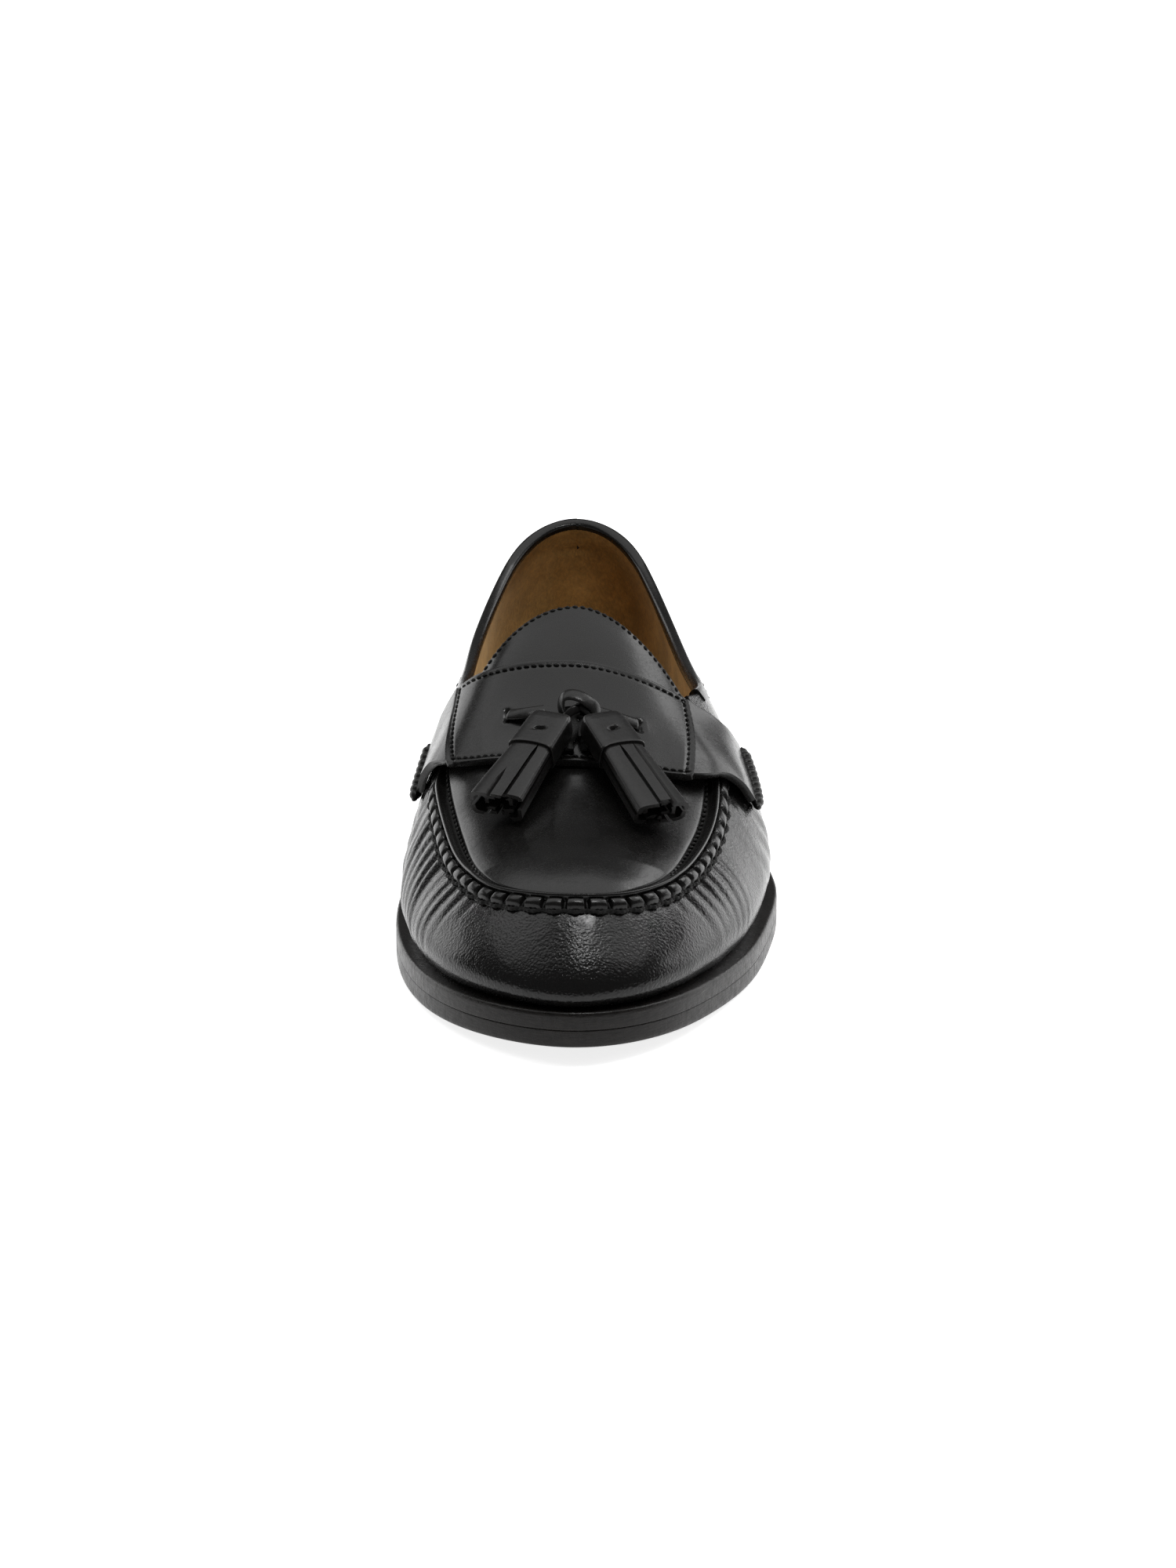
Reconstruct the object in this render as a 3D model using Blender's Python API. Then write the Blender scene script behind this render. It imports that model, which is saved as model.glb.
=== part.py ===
"""Black tassel loafer for the left foot, modelled empty and standing on its sole.

Units are metres. The toe points to -Y, the medial side is -X and +Z is up.
The floor is z = 0, and the origin lies under the middle of the shoe.

Every leather piece is cut from one surface, skin(), the outside of the last:
a point of the feather line, an angle round the section, and the ridge above it.
"""
import math
from collections import namedtuple

import bmesh
import bpy
import numpy as np

# Driving sizes in metres
LENGTH = 0.295
BALL_WIDTH = 0.106
INSTEP_HEIGHT = 0.082
COLLAR_HEIGHT = 0.072
TOE_SPRING = 0.0045
OUTSOLE_THICKNESS = 0.0048
MIDSOLE_THICKNESS = 0.0044
HEEL_LIFT_THICKNESS = 0.005
HEEL_STACK_HEIGHT = 0.0093
HEEL_TAPER = 0.0016
HEEL_BREAST_HOLLOW = 0.004
EDGE_BREAK = 0.0006
INSOLE_THICKNESS = 0.003
GAP = 0.0003
SKIN_GAP = 0.0005
UPPER_WALL = 0.002
APRON_WALL = 0.0018
STRAP_WALL = 0.0022
BINDING_HEIGHT = 0.0045
BINDING_WALL = 0.0034
TOE_INSET = 0.0048
HEEL_INSET = 0.0032
TOE_BULGE = 0.0040
HEEL_BULGE = 0.0022
SEAM_WIDTH = 0.0052
SEAM_RISE = 0.0021
ROPE_RADIUS = 0.0019
LACE_WIDTH = 0.0028
LACE_THICKNESS = 0.0014
KNOT_WIDTH = 0.0062
KNOT_THICKNESS = 0.0052
TASSEL_WIDTH = 0.0110
TASSEL_THICKNESS = 0.0068
TASSEL_CAP_LENGTH = 0.0140
TASSEL_FLARE = 1.24
TASSEL_STRIPS = 7
STRIP_NOTCH = 0.45
STRIP_STAGGER = 0.0012
TIP_SEAT = 0.66
STRAP_LIFT = 0.0026

# Places along the shoe, as shares of its length from the toe
TOE_CENTRE = 0.153
HEEL_CENTRE = 0.885
TREAD_FRONT = 0.27
TREAD_BACK = 0.40
HEEL_BREAST = 0.735
SEAT_FRONT = 0.76
THROAT = 0.462
THROAT_END = 0.478
BINDING_START = 0.500
SEAM_HIGH = 0.35
SEAM_LOW = 0.41
HEEL_BLEND_START = 0.45
HEEL_BLEND_END = 0.80
BRIDGE_FRONT = 0.36
BRIDGE_BACK = 0.45

# Other shares and angles that shape the pieces
BULGE_TOP = 0.8
BULGE_PEAK = 6.75
HOLLOW_SHARE = 0.5
BRIDGE_ROUND = 0.50
BRIDGE_HALF = 0.26
ROPE_END = 0.55
ROPE_TAPER = 0.25
EDGE_SHARE = 0.2
STRIP_TURN = 2.4
NOTCH_FADE = 0.33
FRINGE_START = 0.92
SHARP_ANGLE = math.radians(40)
BEVEL_ANGLE = math.radians(60)

# Fineness of the lofts
OUTLINE_STEPS = 32
UPPER_ROWS = 9
APRON_ROWS = 5
STRAP_STEPS = 21
STRAP_ROWS = 5
TONGUE_STEPS = 8
TASSEL_RINGS = 6
HEEL_STEPS = 12
BINDING_ROWS = 2
ROPE_STEPS = 10
LACE_STEPS = 18
ROUND_SIDES = 8
HALVINGS = 24

# Small steps for slopes: in turn, in rise and along the shoe
TURN_STEP = 0.002
SKIN_STEP = 0.004
SLOPE_STEP = 0.01
END_STEP = 0.001

OutlineRow = namedtuple("OutlineRow", "along medial lateral")
RidgeRow = namedtuple("RidgeRow", "along height across medial_fullness lateral_fullness")
CollarRow = namedtuple("CollarRow", "along height")
StrapRow = namedtuple("StrapRow", "front_along front_round back_along back_round")
LaceRow = namedtuple("LaceRow", "along round knot")
TasselRow = namedtuple("TasselRow", "name top_along top_round tip_along tip_round")
CapRow = namedtuple("CapRow", "along size")
SeamRow = namedtuple("SeamRow", "across height")

# Sole outline: shares of LENGTH from the toe, and of BALL_WIDTH from the centre line
SOLE_OUTLINE = [
    OutlineRow(0.000, -0.030, -0.030),
    OutlineRow(0.015, -0.162, 0.100),
    OutlineRow(0.060, -0.302, 0.228),
    OutlineRow(0.120, -0.402, 0.325),
    OutlineRow(0.200, -0.470, 0.417),
    OutlineRow(0.300, -0.500, 0.478),
    OutlineRow(0.380, -0.490, 0.500),
    OutlineRow(0.480, -0.452, 0.460),
    OutlineRow(0.580, -0.412, 0.384),
    OutlineRow(0.700, -0.374, 0.314),
    OutlineRow(0.820, -0.344, 0.276),
    OutlineRow(0.910, -0.300, 0.234),
    OutlineRow(0.970, -0.206, 0.140),
    OutlineRow(1.000, -0.033, -0.033),
]

# Apron and tongue outline, in the same shares
APRON_OUTLINE = [
    OutlineRow(0.086, -0.031, -0.031),
    OutlineRow(0.096, -0.128, 0.070),
    OutlineRow(0.120, -0.215, 0.143),
    OutlineRow(0.150, -0.268, 0.200),
    OutlineRow(0.200, -0.315, 0.254),
    OutlineRow(0.270, -0.350, 0.300),
    OutlineRow(0.345, -0.376, 0.323),
    OutlineRow(0.400, -0.374, 0.312),
    OutlineRow(0.440, -0.334, 0.272),
    OutlineRow(0.466, -0.277, 0.220),
    OutlineRow(0.485, -0.215, 0.158),
    OutlineRow(0.502, -0.133, 0.074),
    OutlineRow(0.510, -0.033, -0.033),
]

# Ridge over the foot: height as a share of INSTEP_HEIGHT, place across as a share
# of BALL_WIDTH, and how full the section is on either side of it
RIDGE = [
    RidgeRow(0.00, 0.420, -0.030, 2.30, 2.30),
    RidgeRow(0.10, 0.490, -0.030, 2.45, 2.40),
    RidgeRow(0.20, 0.526, -0.034, 2.90, 2.60),
    RidgeRow(0.30, 0.588, -0.042, 3.30, 2.60),
    RidgeRow(0.36, 0.674, -0.046, 3.45, 2.42),
    RidgeRow(0.44, 0.838, -0.046, 3.40, 2.18),
    RidgeRow(0.52, 1.000, -0.040, 2.75, 1.98),
    RidgeRow(0.60, 1.115, -0.036, 1.68, 1.52),
    RidgeRow(0.72, 1.190, -0.033, 1.36, 1.30),
    RidgeRow(0.86, 1.130, -0.033, 1.37, 1.25),
    RidgeRow(1.00, 1.070, -0.033, 1.90, 1.80),
]

# Strap: its two edges from the medial end to the lateral end. A place round the
# section runs from -1 at the medial feather line to 0 on the ridge and 1 lateral.
STRAP = [
    StrapRow(0.412, -0.70, 0.490, -0.69),
    StrapRow(0.398, -0.61, 0.486, -0.60),
    StrapRow(0.380, -0.50, 0.475, -0.51),
    StrapRow(0.353, -0.37, 0.462, -0.40),
    StrapRow(0.333, -0.19, 0.445, -0.20),
    StrapRow(0.322, 0.00, 0.441, 0.00),
    StrapRow(0.319, 0.20, 0.436, 0.18),
    StrapRow(0.326, 0.34, 0.437, 0.33),
    StrapRow(0.343, 0.44, 0.441, 0.42),
    StrapRow(0.361, 0.51, 0.450, 0.50),
    StrapRow(0.372, 0.59, 0.465, 0.60),
    StrapRow(0.380, 0.67, 0.484, 0.69),
]

# Lace over the strap from slot to slot, with how much of the knot each place has
LACE = [
    LaceRow(0.382, -0.125, 0.0),
    LaceRow(0.378, -0.070, 0.0),
    LaceRow(0.380, -0.020, 0.2),
    LaceRow(0.383, 0.015, 1.0),
    LaceRow(0.379, 0.060, 0.2),
    LaceRow(0.374, 0.110, 0.0),
    LaceRow(0.372, 0.180, 0.0),
]

TASSELS = [
    TasselRow("tassel_medial", 0.369, -0.006, 0.236, -0.190),
    TasselRow("tassel_lateral", 0.369, 0.048, 0.226, 0.250),
]

# Tassel's cap: shares of its length and of the tassel's width
CAP = [
    CapRow(0.00, 0.58),
    CapRow(0.08, 0.84),
    CapRow(0.30, 0.94),
    CapRow(1.00, 1.00),
    CapRow(1.02, 0.90),
]

# Raised seam: shares of half its width and of its height
SEAM_PROFILE = [
    SeamRow(-1.00, 0.00),
    SeamRow(-0.72, 0.75),
    SeamRow(-0.25, 1.00),
    SeamRow(0.25, 1.00),
    SeamRow(0.72, 0.75),
    SeamRow(1.00, 0.00),
]

# Top line behind the throat: height above the floor as a share of COLLAR_HEIGHT
COLLAR = [
    CollarRow(0.44, 0.850),
    CollarRow(0.52, 0.785),
    CollarRow(0.62, 0.735),
    CollarRow(0.72, 0.735),
    CollarRow(0.82, 0.800),
    CollarRow(0.92, 0.925),
    CollarRow(1.00, 1.000),
]


def material(name, colour, roughness):
    """A plain Principled material with the piece's colour and roughness."""
    made = bpy.data.materials.new(name)
    made.use_nodes = True
    shader = made.node_tree.nodes["Principled BSDF"]
    shader.inputs["Base Color"].default_value = (*colour, 1.0)
    shader.inputs["Roughness"].default_value = roughness
    shader.inputs["Metallic"].default_value = 0.0
    made.diffuse_color = (*colour, 1.0)
    return made


def spline(table, key, value):
    """Natural cubic curve of one column of a table over another."""
    xs = np.array([key(row) for row in table])
    ys = np.array([value(row) for row in table])
    count = len(xs)
    step = np.diff(xs)
    slope = np.diff(ys) / step
    system = np.eye(count)
    right = np.zeros(count)
    for i in range(1, count - 1):
        system[i, i - 1] = step[i - 1]
        system[i, i] = 2.0 * (step[i - 1] + step[i])
        system[i, i + 1] = step[i]
        right[i] = 6.0 * (slope[i] - slope[i - 1])
    bend = np.linalg.solve(system, right)

    def curve(x):
        x = min(max(x, xs[0]), xs[-1])
        i = min(int(np.searchsorted(xs, x, side="right")) - 1, count - 2)
        a = (xs[i + 1] - x) / step[i]
        b = (x - xs[i]) / step[i]
        cubic = (a ** 3 - a) * bend[i] + (b ** 3 - b) * bend[i + 1]
        return float(a * ys[i] + b * ys[i + 1] + cubic * step[i] ** 2 / 6.0)

    return curve


def turn_of(along):
    """Angle round an outline, 0 at its toe end and pi at its heel end."""
    return math.acos(min(max(1.0 - 2.0 * along, -1.0), 1.0))


def apron_turn(along):
    """The same angle for the apron, 0 at its front and pi at the tongue's tip."""
    return turn_of((along - apron_front) / apron_span)


def along_of(turn):
    return (1.0 - math.cos(turn)) / 2.0


def y_of(along):
    return (along - 0.5) * LENGTH


def share_of(y):
    return y / LENGTH + 0.5


def smooth_step(low, high, value):
    share = min(max((value - low) / (high - low), 0.0), 1.0)
    return share * share * (3.0 - 2.0 * share)


def mix(first, second, share):
    return first + (second - first) * share


outline_medial = spline(SOLE_OUTLINE, lambda row: turn_of(row.along), lambda row: row.medial)
outline_lateral = spline(SOLE_OUTLINE, lambda row: turn_of(row.along), lambda row: row.lateral)
apron_front = APRON_OUTLINE[0].along
apron_span = APRON_OUTLINE[-1].along - apron_front
apron_medial = spline(APRON_OUTLINE, lambda row: apron_turn(row.along), lambda row: row.medial)
apron_lateral = spline(APRON_OUTLINE, lambda row: apron_turn(row.along), lambda row: row.lateral)
ridge_height = spline(RIDGE, lambda row: row.along, lambda row: row.height)
ridge_across = spline(RIDGE, lambda row: row.along, lambda row: row.across)
medial_fullness = spline(RIDGE, lambda row: row.along, lambda row: row.medial_fullness)
lateral_fullness = spline(RIDGE, lambda row: row.along, lambda row: row.lateral_fullness)
collar_height = spline(COLLAR, lambda row: row.along, lambda row: row.height)


def sole_edge(side, turn, inset=0.0):
    """Point of the sole outline in plan, moved in by inset. side is -1 medial, 1 lateral."""
    curve = outline_medial if side < 0 else outline_lateral
    low = max(turn - TURN_STEP, 0.0)
    high = min(turn + TURN_STEP, math.pi)
    across = (curve(high) - curve(low)) * BALL_WIDTH
    forward = y_of(along_of(high)) - y_of(along_of(low))
    if turn in (0.0, math.pi):
        forward = 0.0
    size = math.hypot(across, forward)
    outward = (side * forward / size, -side * across / size)
    x = curve(turn) * BALL_WIDTH - inset * outward[0]
    y = y_of(along_of(turn)) - inset * outward[1]
    return x, y


def sole_bottom(y):
    """Height of the outsole's underside: toe spring, flat tread, shank, heel seat."""
    along = share_of(y)
    spring = max(TREAD_FRONT - along, 0.0) / TREAD_FRONT
    block = HEEL_LIFT_THICKNESS + GAP + HEEL_STACK_HEIGHT + GAP
    return TOE_SPRING * spring ** 2 + block * smooth_step(TREAD_BACK, SEAT_FRONT, along)


def sole_top(y):
    return sole_bottom(y) + OUTSOLE_THICKNESS + GAP + MIDSOLE_THICKNESS


def feather_height(y):
    """Height of the line where the upper leaves the sole."""
    return sole_top(y) + GAP


def section_centre(turn):
    """Plan point under the ridge that the section at this turn runs towards."""
    along = min(max(along_of(turn), TOE_CENTRE), HEEL_CENTRE)
    return ridge_across(along) * BALL_WIDTH, y_of(along)


def heel_share(turn):
    return smooth_step(HEEL_BLEND_START, HEEL_BLEND_END, along_of(turn))


def skin(side, turn, rise):
    """Outside of the last. rise is 0 at the feather line and 1 at the ridge."""
    foot = sole_edge(side, turn, mix(TOE_INSET, HEEL_INSET, heel_share(turn)))
    centre = section_centre(turn)
    angle = rise * math.pi / 2.0
    fullness = (medial_fullness if side < 0 else lateral_fullness)(along_of(turn))
    reach = max(math.cos(angle), 0.0) ** (2.0 / fullness)
    lift = math.sin(angle)
    span = math.hypot(foot[0] - centre[0], foot[1] - centre[1])
    out = ((foot[0] - centre[0]) / span, (foot[1] - centre[1]) / span)
    part = min(lift / BULGE_TOP, 1.0)
    bulge = mix(TOE_BULGE, HEEL_BULGE, heel_share(turn)) * BULGE_PEAK * part * (1.0 - part) ** 2
    x = centre[0] + out[0] * (span * reach + bulge)
    y = centre[1] + out[1] * (span * reach + bulge)
    low = feather_height(foot[1])
    top = ridge_height(share_of(y)) * INSTEP_HEIGHT
    return np.array((x, y, low + (top - low) * lift))


def skin_normal(side, turn, rise):
    """Outward normal of the skin, from small steps round and up it."""
    if rise > 1.0 - SKIN_STEP:
        slope = ridge_slope(share_of(section_centre(turn)[1]))
        return np.array((0.0, -slope, 1.0)) / math.hypot(slope, 1.0)
    up = skin(side, turn, rise + SKIN_STEP) - skin(side, turn, max(rise - SKIN_STEP, 0.0))
    low = max(turn - SKIN_STEP, 0.0)
    high = min(turn + SKIN_STEP, math.pi)
    along = skin(side, high, rise) - skin(side, low, rise)
    if turn < SKIN_STEP:
        along = np.array((side, 0.0, 0.0))
    if turn > math.pi - SKIN_STEP:
        along = np.array((-side, 0.0, 0.0))
    normal = np.cross(along, up) * side
    return normal / np.linalg.norm(normal)


def ridge_slope(along):
    rise = (ridge_height(along + SLOPE_STEP) - ridge_height(along - SLOPE_STEP)) * INSTEP_HEIGHT
    return rise / (2.0 * SLOPE_STEP * LENGTH)


def raised(side, turn, rise, offset):
    """Point at a distance outside the skin."""
    return skin(side, turn, rise) + offset * skin_normal(side, turn, rise)


def rise_rate(side, turn, rise):
    """Metres travelled over the skin for one unit of rise."""
    travel = skin(side, turn, rise + SKIN_STEP) - skin(side, turn, rise - SKIN_STEP)
    return float(np.linalg.norm(travel)) / (2.0 * SKIN_STEP)


def rise_at_height(side, turn, height):
    """Rise at which the skin reaches a height above the floor."""
    low, high = 0.0, 1.0
    for _ in range(HALVINGS):
        middle = (low + high) / 2.0
        if skin(side, turn, middle)[2] < height:
            low = middle
        else:
            high = middle
    return (low + high) / 2.0


def inside_apron(point):
    """True where a point of the skin lies within the apron's edge in plan."""
    along = share_of(point[1])
    if not 0.0 < (along - apron_front) / apron_span < 1.0:
        return False
    turn = apron_turn(along)
    return apron_medial(turn) * BALL_WIDTH < point[0] < apron_lateral(turn) * BALL_WIDTH


def apron_rise(side, turn):
    """Rise of the edge of the apron and tongue."""
    low, high = 0.0, 1.0
    for _ in range(HALVINGS):
        middle = (low + high) / 2.0
        if inside_apron(skin(side, turn, middle)):
            high = middle
        else:
            low = middle
    return (low + high) / 2.0


def rim_rise(side, turn):
    """Rise of the upper's top rim: the seam in front, the top line behind."""
    if along_of(turn) < THROAT + END_STEP:
        edge = apron_rise(side, turn)
        return edge - (SEAM_WIDTH + 2.0 * SKIN_GAP) / rise_rate(side, turn, edge)
    top = rise_at_height(side, turn, collar_height(along_of(turn)) * COLLAR_HEIGHT)
    return top - (BINDING_HEIGHT + GAP) / rise_rate(side, turn, top)


def ring_turns(extra=()):
    """Side and turn of each point of a whole ring: medial to the heel, lateral back."""
    turns = [math.pi * i / OUTLINE_STEPS for i in range(OUTLINE_STEPS + 1)]
    turns = sorted(set(turns).union(extra))
    medial = [(-1, turn) for turn in turns]
    lateral = [(1, turn) for turn in reversed(turns[1:-1])]
    return medial + lateral


def new_object(name, mesh_builder, look):
    """Turn a bmesh into a smooth-shaded object with one material."""
    bmesh.ops.remove_doubles(mesh_builder, verts=mesh_builder.verts, dist=0.00001)
    bmesh.ops.recalc_face_normals(mesh_builder, faces=mesh_builder.faces)
    if mesh_builder.calc_volume(signed=True) < 0.0:
        bmesh.ops.reverse_faces(mesh_builder, faces=mesh_builder.faces)
    mesh = bpy.data.meshes.new(name)
    mesh_builder.to_mesh(mesh)
    mesh_builder.free()
    mesh.shade_smooth()
    mesh.set_sharp_from_angle(angle=SHARP_ANGLE)
    mesh.materials.append(look)
    made = bpy.data.objects.new(name, mesh)
    bpy.context.scene.collection.objects.link(made)
    return made


def slab(name, loops, look):
    """Closed solid through level loops, bottom first, that start at their front middle."""
    builder = bmesh.new()
    rows = [[builder.verts.new(point) for point in loop] for loop in loops]
    count = len(loops[0])
    for lower, upper in zip(rows, rows[1:]):
        for i in range(count):
            j = (i + 1) % count
            builder.faces.new((lower[i], lower[j], upper[j], upper[i]))
    for row in (rows[0], rows[-1]):
        for i in range(count // 2):
            corners = (row[i], row[i + 1], row[(count - i - 1) % count], row[(count - i) % count])
            faces = list(dict.fromkeys(corners))
            if len(faces) > 2:
                builder.faces.new(faces)
    return new_object(name, builder, look)


def tube(name, loops, look):
    """Closed solid through loops from one end to the other, with flat ends."""
    builder = bmesh.new()
    rows = [[builder.verts.new(point) for point in loop] for loop in loops]
    count = len(loops[0])
    for first, second in zip(rows, rows[1:]):
        for i in range(count):
            j = (i + 1) % count
            builder.faces.new((first[i], first[j], second[j], second[i]))
    for row in (rows[0], rows[-1]):
        end = builder.faces.new(row)
        bmesh.ops.triangulate(builder, faces=[end])
    return new_object(name, builder, look)


def sheet(name, grid, wall, look, closed=False, edge=0.0):
    """Leather sheet through a grid of outside points, thickened inwards."""
    builder = bmesh.new()
    rows = [[builder.verts.new(point) for point in row] for row in grid]
    if closed:
        rows.append(rows[0])
    for first, second in zip(rows, rows[1:]):
        for a, b, c, d in zip(first, first[1:], second[1:], second):
            builder.faces.new((a, b, c, d))
    made = new_object(name, builder, look)
    face_outwards(made)
    thicken = made.modifiers.new("wall", "SOLIDIFY")
    thicken.thickness = wall
    thicken.offset = -1.0
    if edge:
        soften = made.modifiers.new("edge", "BEVEL")
        soften.width = edge
        soften.segments = 1
        soften.limit_method = "ANGLE"
        soften.angle_limit = BEVEL_ANGLE
    return made


def face_outwards(made):
    """Turn a sheet's faces away from the middle of the foot."""
    middle = np.array((ridge_across(share_of(0.0)) * BALL_WIDTH, 0.0, feather_height(0.0)))
    total = 0.0
    for face in made.data.polygons:
        away = np.array(face.center) - middle
        away[1] = 0.0
        total += float(np.dot(away, np.array(face.normal))) * face.area
    if total < 0.0:
        made.data.flip_normals()


def sole_loop(inset, height_of):
    """Ring round the sole outline at an inset, at the height the function gives."""
    points = []
    for side, turn in ring_turns():
        x, y = sole_edge(side, turn, inset)
        points.append((x, y, height_of(y)))
    return points


def sole_layer(name, low_of, thickness, look):
    """One layer of the sole with broken edges, so a fine groove shows between layers."""
    loops = [
        sole_loop(EDGE_BREAK, low_of),
        sole_loop(0.0, lambda y: low_of(y) + EDGE_BREAK),
        sole_loop(0.0, lambda y: low_of(y) + thickness - EDGE_BREAK),
        sole_loop(EDGE_BREAK, lambda y: low_of(y) + thickness),
    ]
    return slab(name, loops, look)


def heel_loop(inset, height):
    """Level loop round the heel block, starting at the middle of its hollow front."""
    first = turn_of(HEEL_BREAST)
    turns = [mix(first, math.pi, i / HEEL_STEPS) for i in range(HEEL_STEPS + 1)]
    medial = [sole_edge(-1, turn, inset) for turn in turns]
    lateral = [sole_edge(1, turn, inset) for turn in reversed(turns[:-1])]
    centre_y = y_of(HEEL_BREAST) + HEEL_BREAST_HOLLOW
    half = []
    for corner in (medial[0], lateral[-1]):
        half.append((corner[0] * HOLLOW_SHARE, mix(corner[1], centre_y, 1.0 - HOLLOW_SHARE ** 2)))
    plan = [(0.0, centre_y), half[0]] + medial + lateral + [half[1]]
    return [(x, y, height) for x, y in plan]


def heel_layer(name, low, high, look):
    """One level layer of the heel block, tapering in towards the floor."""
    block = HEEL_LIFT_THICKNESS + GAP + HEEL_STACK_HEIGHT
    heights = [low, low + EDGE_BREAK, high - EDGE_BREAK, high]
    breaks = [EDGE_BREAK, 0.0, 0.0, EDGE_BREAK]
    loops = []
    for height, break_in in zip(heights, breaks):
        taper = HEEL_TAPER * (1.0 - height / block)
        loops.append(heel_loop(EDGE_BREAK + taper + break_in, height))
    return slab(name, loops, look)


def build_sole(sole_leather, rubber, insole_leather):
    outsole_top = OUTSOLE_THICKNESS + GAP
    sole_layer("outsole", sole_bottom, OUTSOLE_THICKNESS, sole_leather)
    sole_layer("midsole", lambda y: sole_bottom(y) + outsole_top, MIDSOLE_THICKNESS, sole_leather)
    stack_low = HEEL_LIFT_THICKNESS + GAP
    heel_layer("heel_stack", stack_low, stack_low + HEEL_STACK_HEIGHT, sole_leather)
    heel_layer("heel_top_lift", 0.0, HEEL_LIFT_THICKNESS, rubber)
    inset = TOE_INSET + UPPER_WALL + GAP * 2
    loops = [
        sole_loop(inset, feather_height),
        sole_loop(inset, lambda y: feather_height(y) + INSOLE_THICKNESS),
    ]
    slab("insole", loops, insole_leather)


def build_upper(leather):
    """Vamp and quarters: one wall from the feather line to its rim, open top and bottom."""
    grid = []
    for side, turn in ring_turns(front_turns() + [turn_of(THROAT_END)]):
        rim = rim_rise(side, turn)
        grid.append([skin(side, turn, rim * i / UPPER_ROWS) for i in range(UPPER_ROWS + 1)])
    return sheet("upper", grid, UPPER_WALL, leather, closed=True)


def build_binding(leather):
    """Folded leather edge along the top line, from throat corner to throat corner."""
    first = turn_of(BINDING_START)
    ring = [math.pi * i / OUTLINE_STEPS for i in range(OUTLINE_STEPS + 1)]
    turns = [first] + [turn for turn in ring if turn > first + SLOPE_STEP]
    path = [(-1, turn) for turn in turns] + [(1, turn) for turn in reversed(turns[:-1])]
    grid = []
    for side, turn in path:
        top = rise_at_height(side, turn, collar_height(along_of(turn)) * COLLAR_HEIGHT)
        low = top - BINDING_HEIGHT / rise_rate(side, turn, top)
        shares = [i / BINDING_ROWS for i in range(BINDING_ROWS + 1)]
        grid.append([raised(side, turn, mix(low, top, share), GAP) for share in shares])
    return sheet("collar_binding", grid, BINDING_WALL, leather, edge=BINDING_WALL * EDGE_SHARE)


def front_turns():
    """Turns from the toe to the throat, twice as close as the upper's own sections."""
    last = turn_of(THROAT)
    turns = [math.pi * i / (2 * OUTLINE_STEPS) for i in range(2 * OUTLINE_STEPS)]
    return [turn for turn in turns if turn < last - SLOPE_STEP] + [last]


def build_apron(leather):
    """Apron and tongue in one sheet, from the front of the seam to the tongue's tip."""
    throat = turn_of(THROAT)
    tip = turn_of(apron_front + apron_span)
    turns = front_turns()
    for i in range(1, TONGUE_STEPS + 1):
        turns.append(mix(throat, tip, math.sin(math.pi / 2.0 * i / TONGUE_STEPS)))
    grid = []
    for turn in turns:
        row = []
        for side in (-1, 1):
            edge = apron_rise(side, turn)
            half = [skin(side, turn, mix(edge, 1.0, j / APRON_ROWS)) for j in range(APRON_ROWS + 1)]
            row.extend(half if side < 0 else reversed(half[:-1]))
        grid.append(row)
    return sheet("apron", grid, APRON_WALL, leather)


def seam_fade(along):
    """1 where the raised seam stands up, 0 where the strap presses it flat."""
    return 1.0 - smooth_step(SEAM_HIGH, SEAM_LOW, along)


def build_seam(leather):
    """Raised seam between vamp and apron, from under one strap wing to the other."""
    turns = front_turns()
    path = [(-1, turn) for turn in reversed(turns)] + [(1, turn) for turn in turns[1:]]
    half = SEAM_WIDTH / 2.0
    loops = []
    for side, turn in path:
        edge = apron_rise(side, turn)
        rate = rise_rate(side, turn, edge)
        height = SEAM_RISE * seam_fade(along_of(turn))
        loop = []
        for row in SEAM_PROFILE:
            rise = edge + (row.across * half - half - SKIN_GAP) / rate
            loop.append(raised(side, turn, rise, height * row.height))
        for row in (SEAM_PROFILE[-1], SEAM_PROFILE[0]):
            rise = edge + (row.across * half - half - SKIN_GAP) / rate
            loop.append(raised(side, turn, rise, -UPPER_WALL))
        loops.append(loop)
    return tube("moc_seam", loops, leather)


def strap_offset(along, round_):
    """Height of the strap's outside over the skin: it bridges the raised seam."""
    away = min(abs(abs(round_) - BRIDGE_ROUND) / BRIDGE_HALF, 1.0)
    bump = math.cos(away * math.pi / 2.0) ** 2
    return SKIN_GAP + STRAP_WALL + STRAP_LIFT * bump * (1.0 - smooth_step(BRIDGE_FRONT, BRIDGE_BACK, along))


def on_section(along, round_, offset):
    """Point over the skin at a share of the length and a place round the section."""
    side = -1 if round_ < 0.0 else 1
    return raised(side, turn_of(along), 1.0 - abs(round_), offset)


def strap_edges():
    """Curves of the four columns of the strap table over its row number."""
    rows = list(enumerate(STRAP))
    return [
        spline(rows, lambda pair: pair[0], lambda pair, column=column: pair[1][column])
        for column in range(len(StrapRow._fields))
    ]


def build_strap(leather):
    """Saddle strap over the instep, with a wing down each side."""
    front_along, front_round, back_along, back_round = strap_edges()
    grid = []
    for i in range(STRAP_STEPS + 1):
        place = (len(STRAP) - 1) * i / STRAP_STEPS
        row = []
        for j in range(STRAP_ROWS + 1):
            share = j / STRAP_ROWS
            along = mix(front_along(place), back_along(place), share)
            round_ = mix(front_round(place), back_round(place), share)
            row.append(on_section(along, round_, strap_offset(along, round_)))
        grid.append(row)
    return sheet("strap", grid, STRAP_WALL, leather, edge=STRAP_WALL * EDGE_SHARE)


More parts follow.
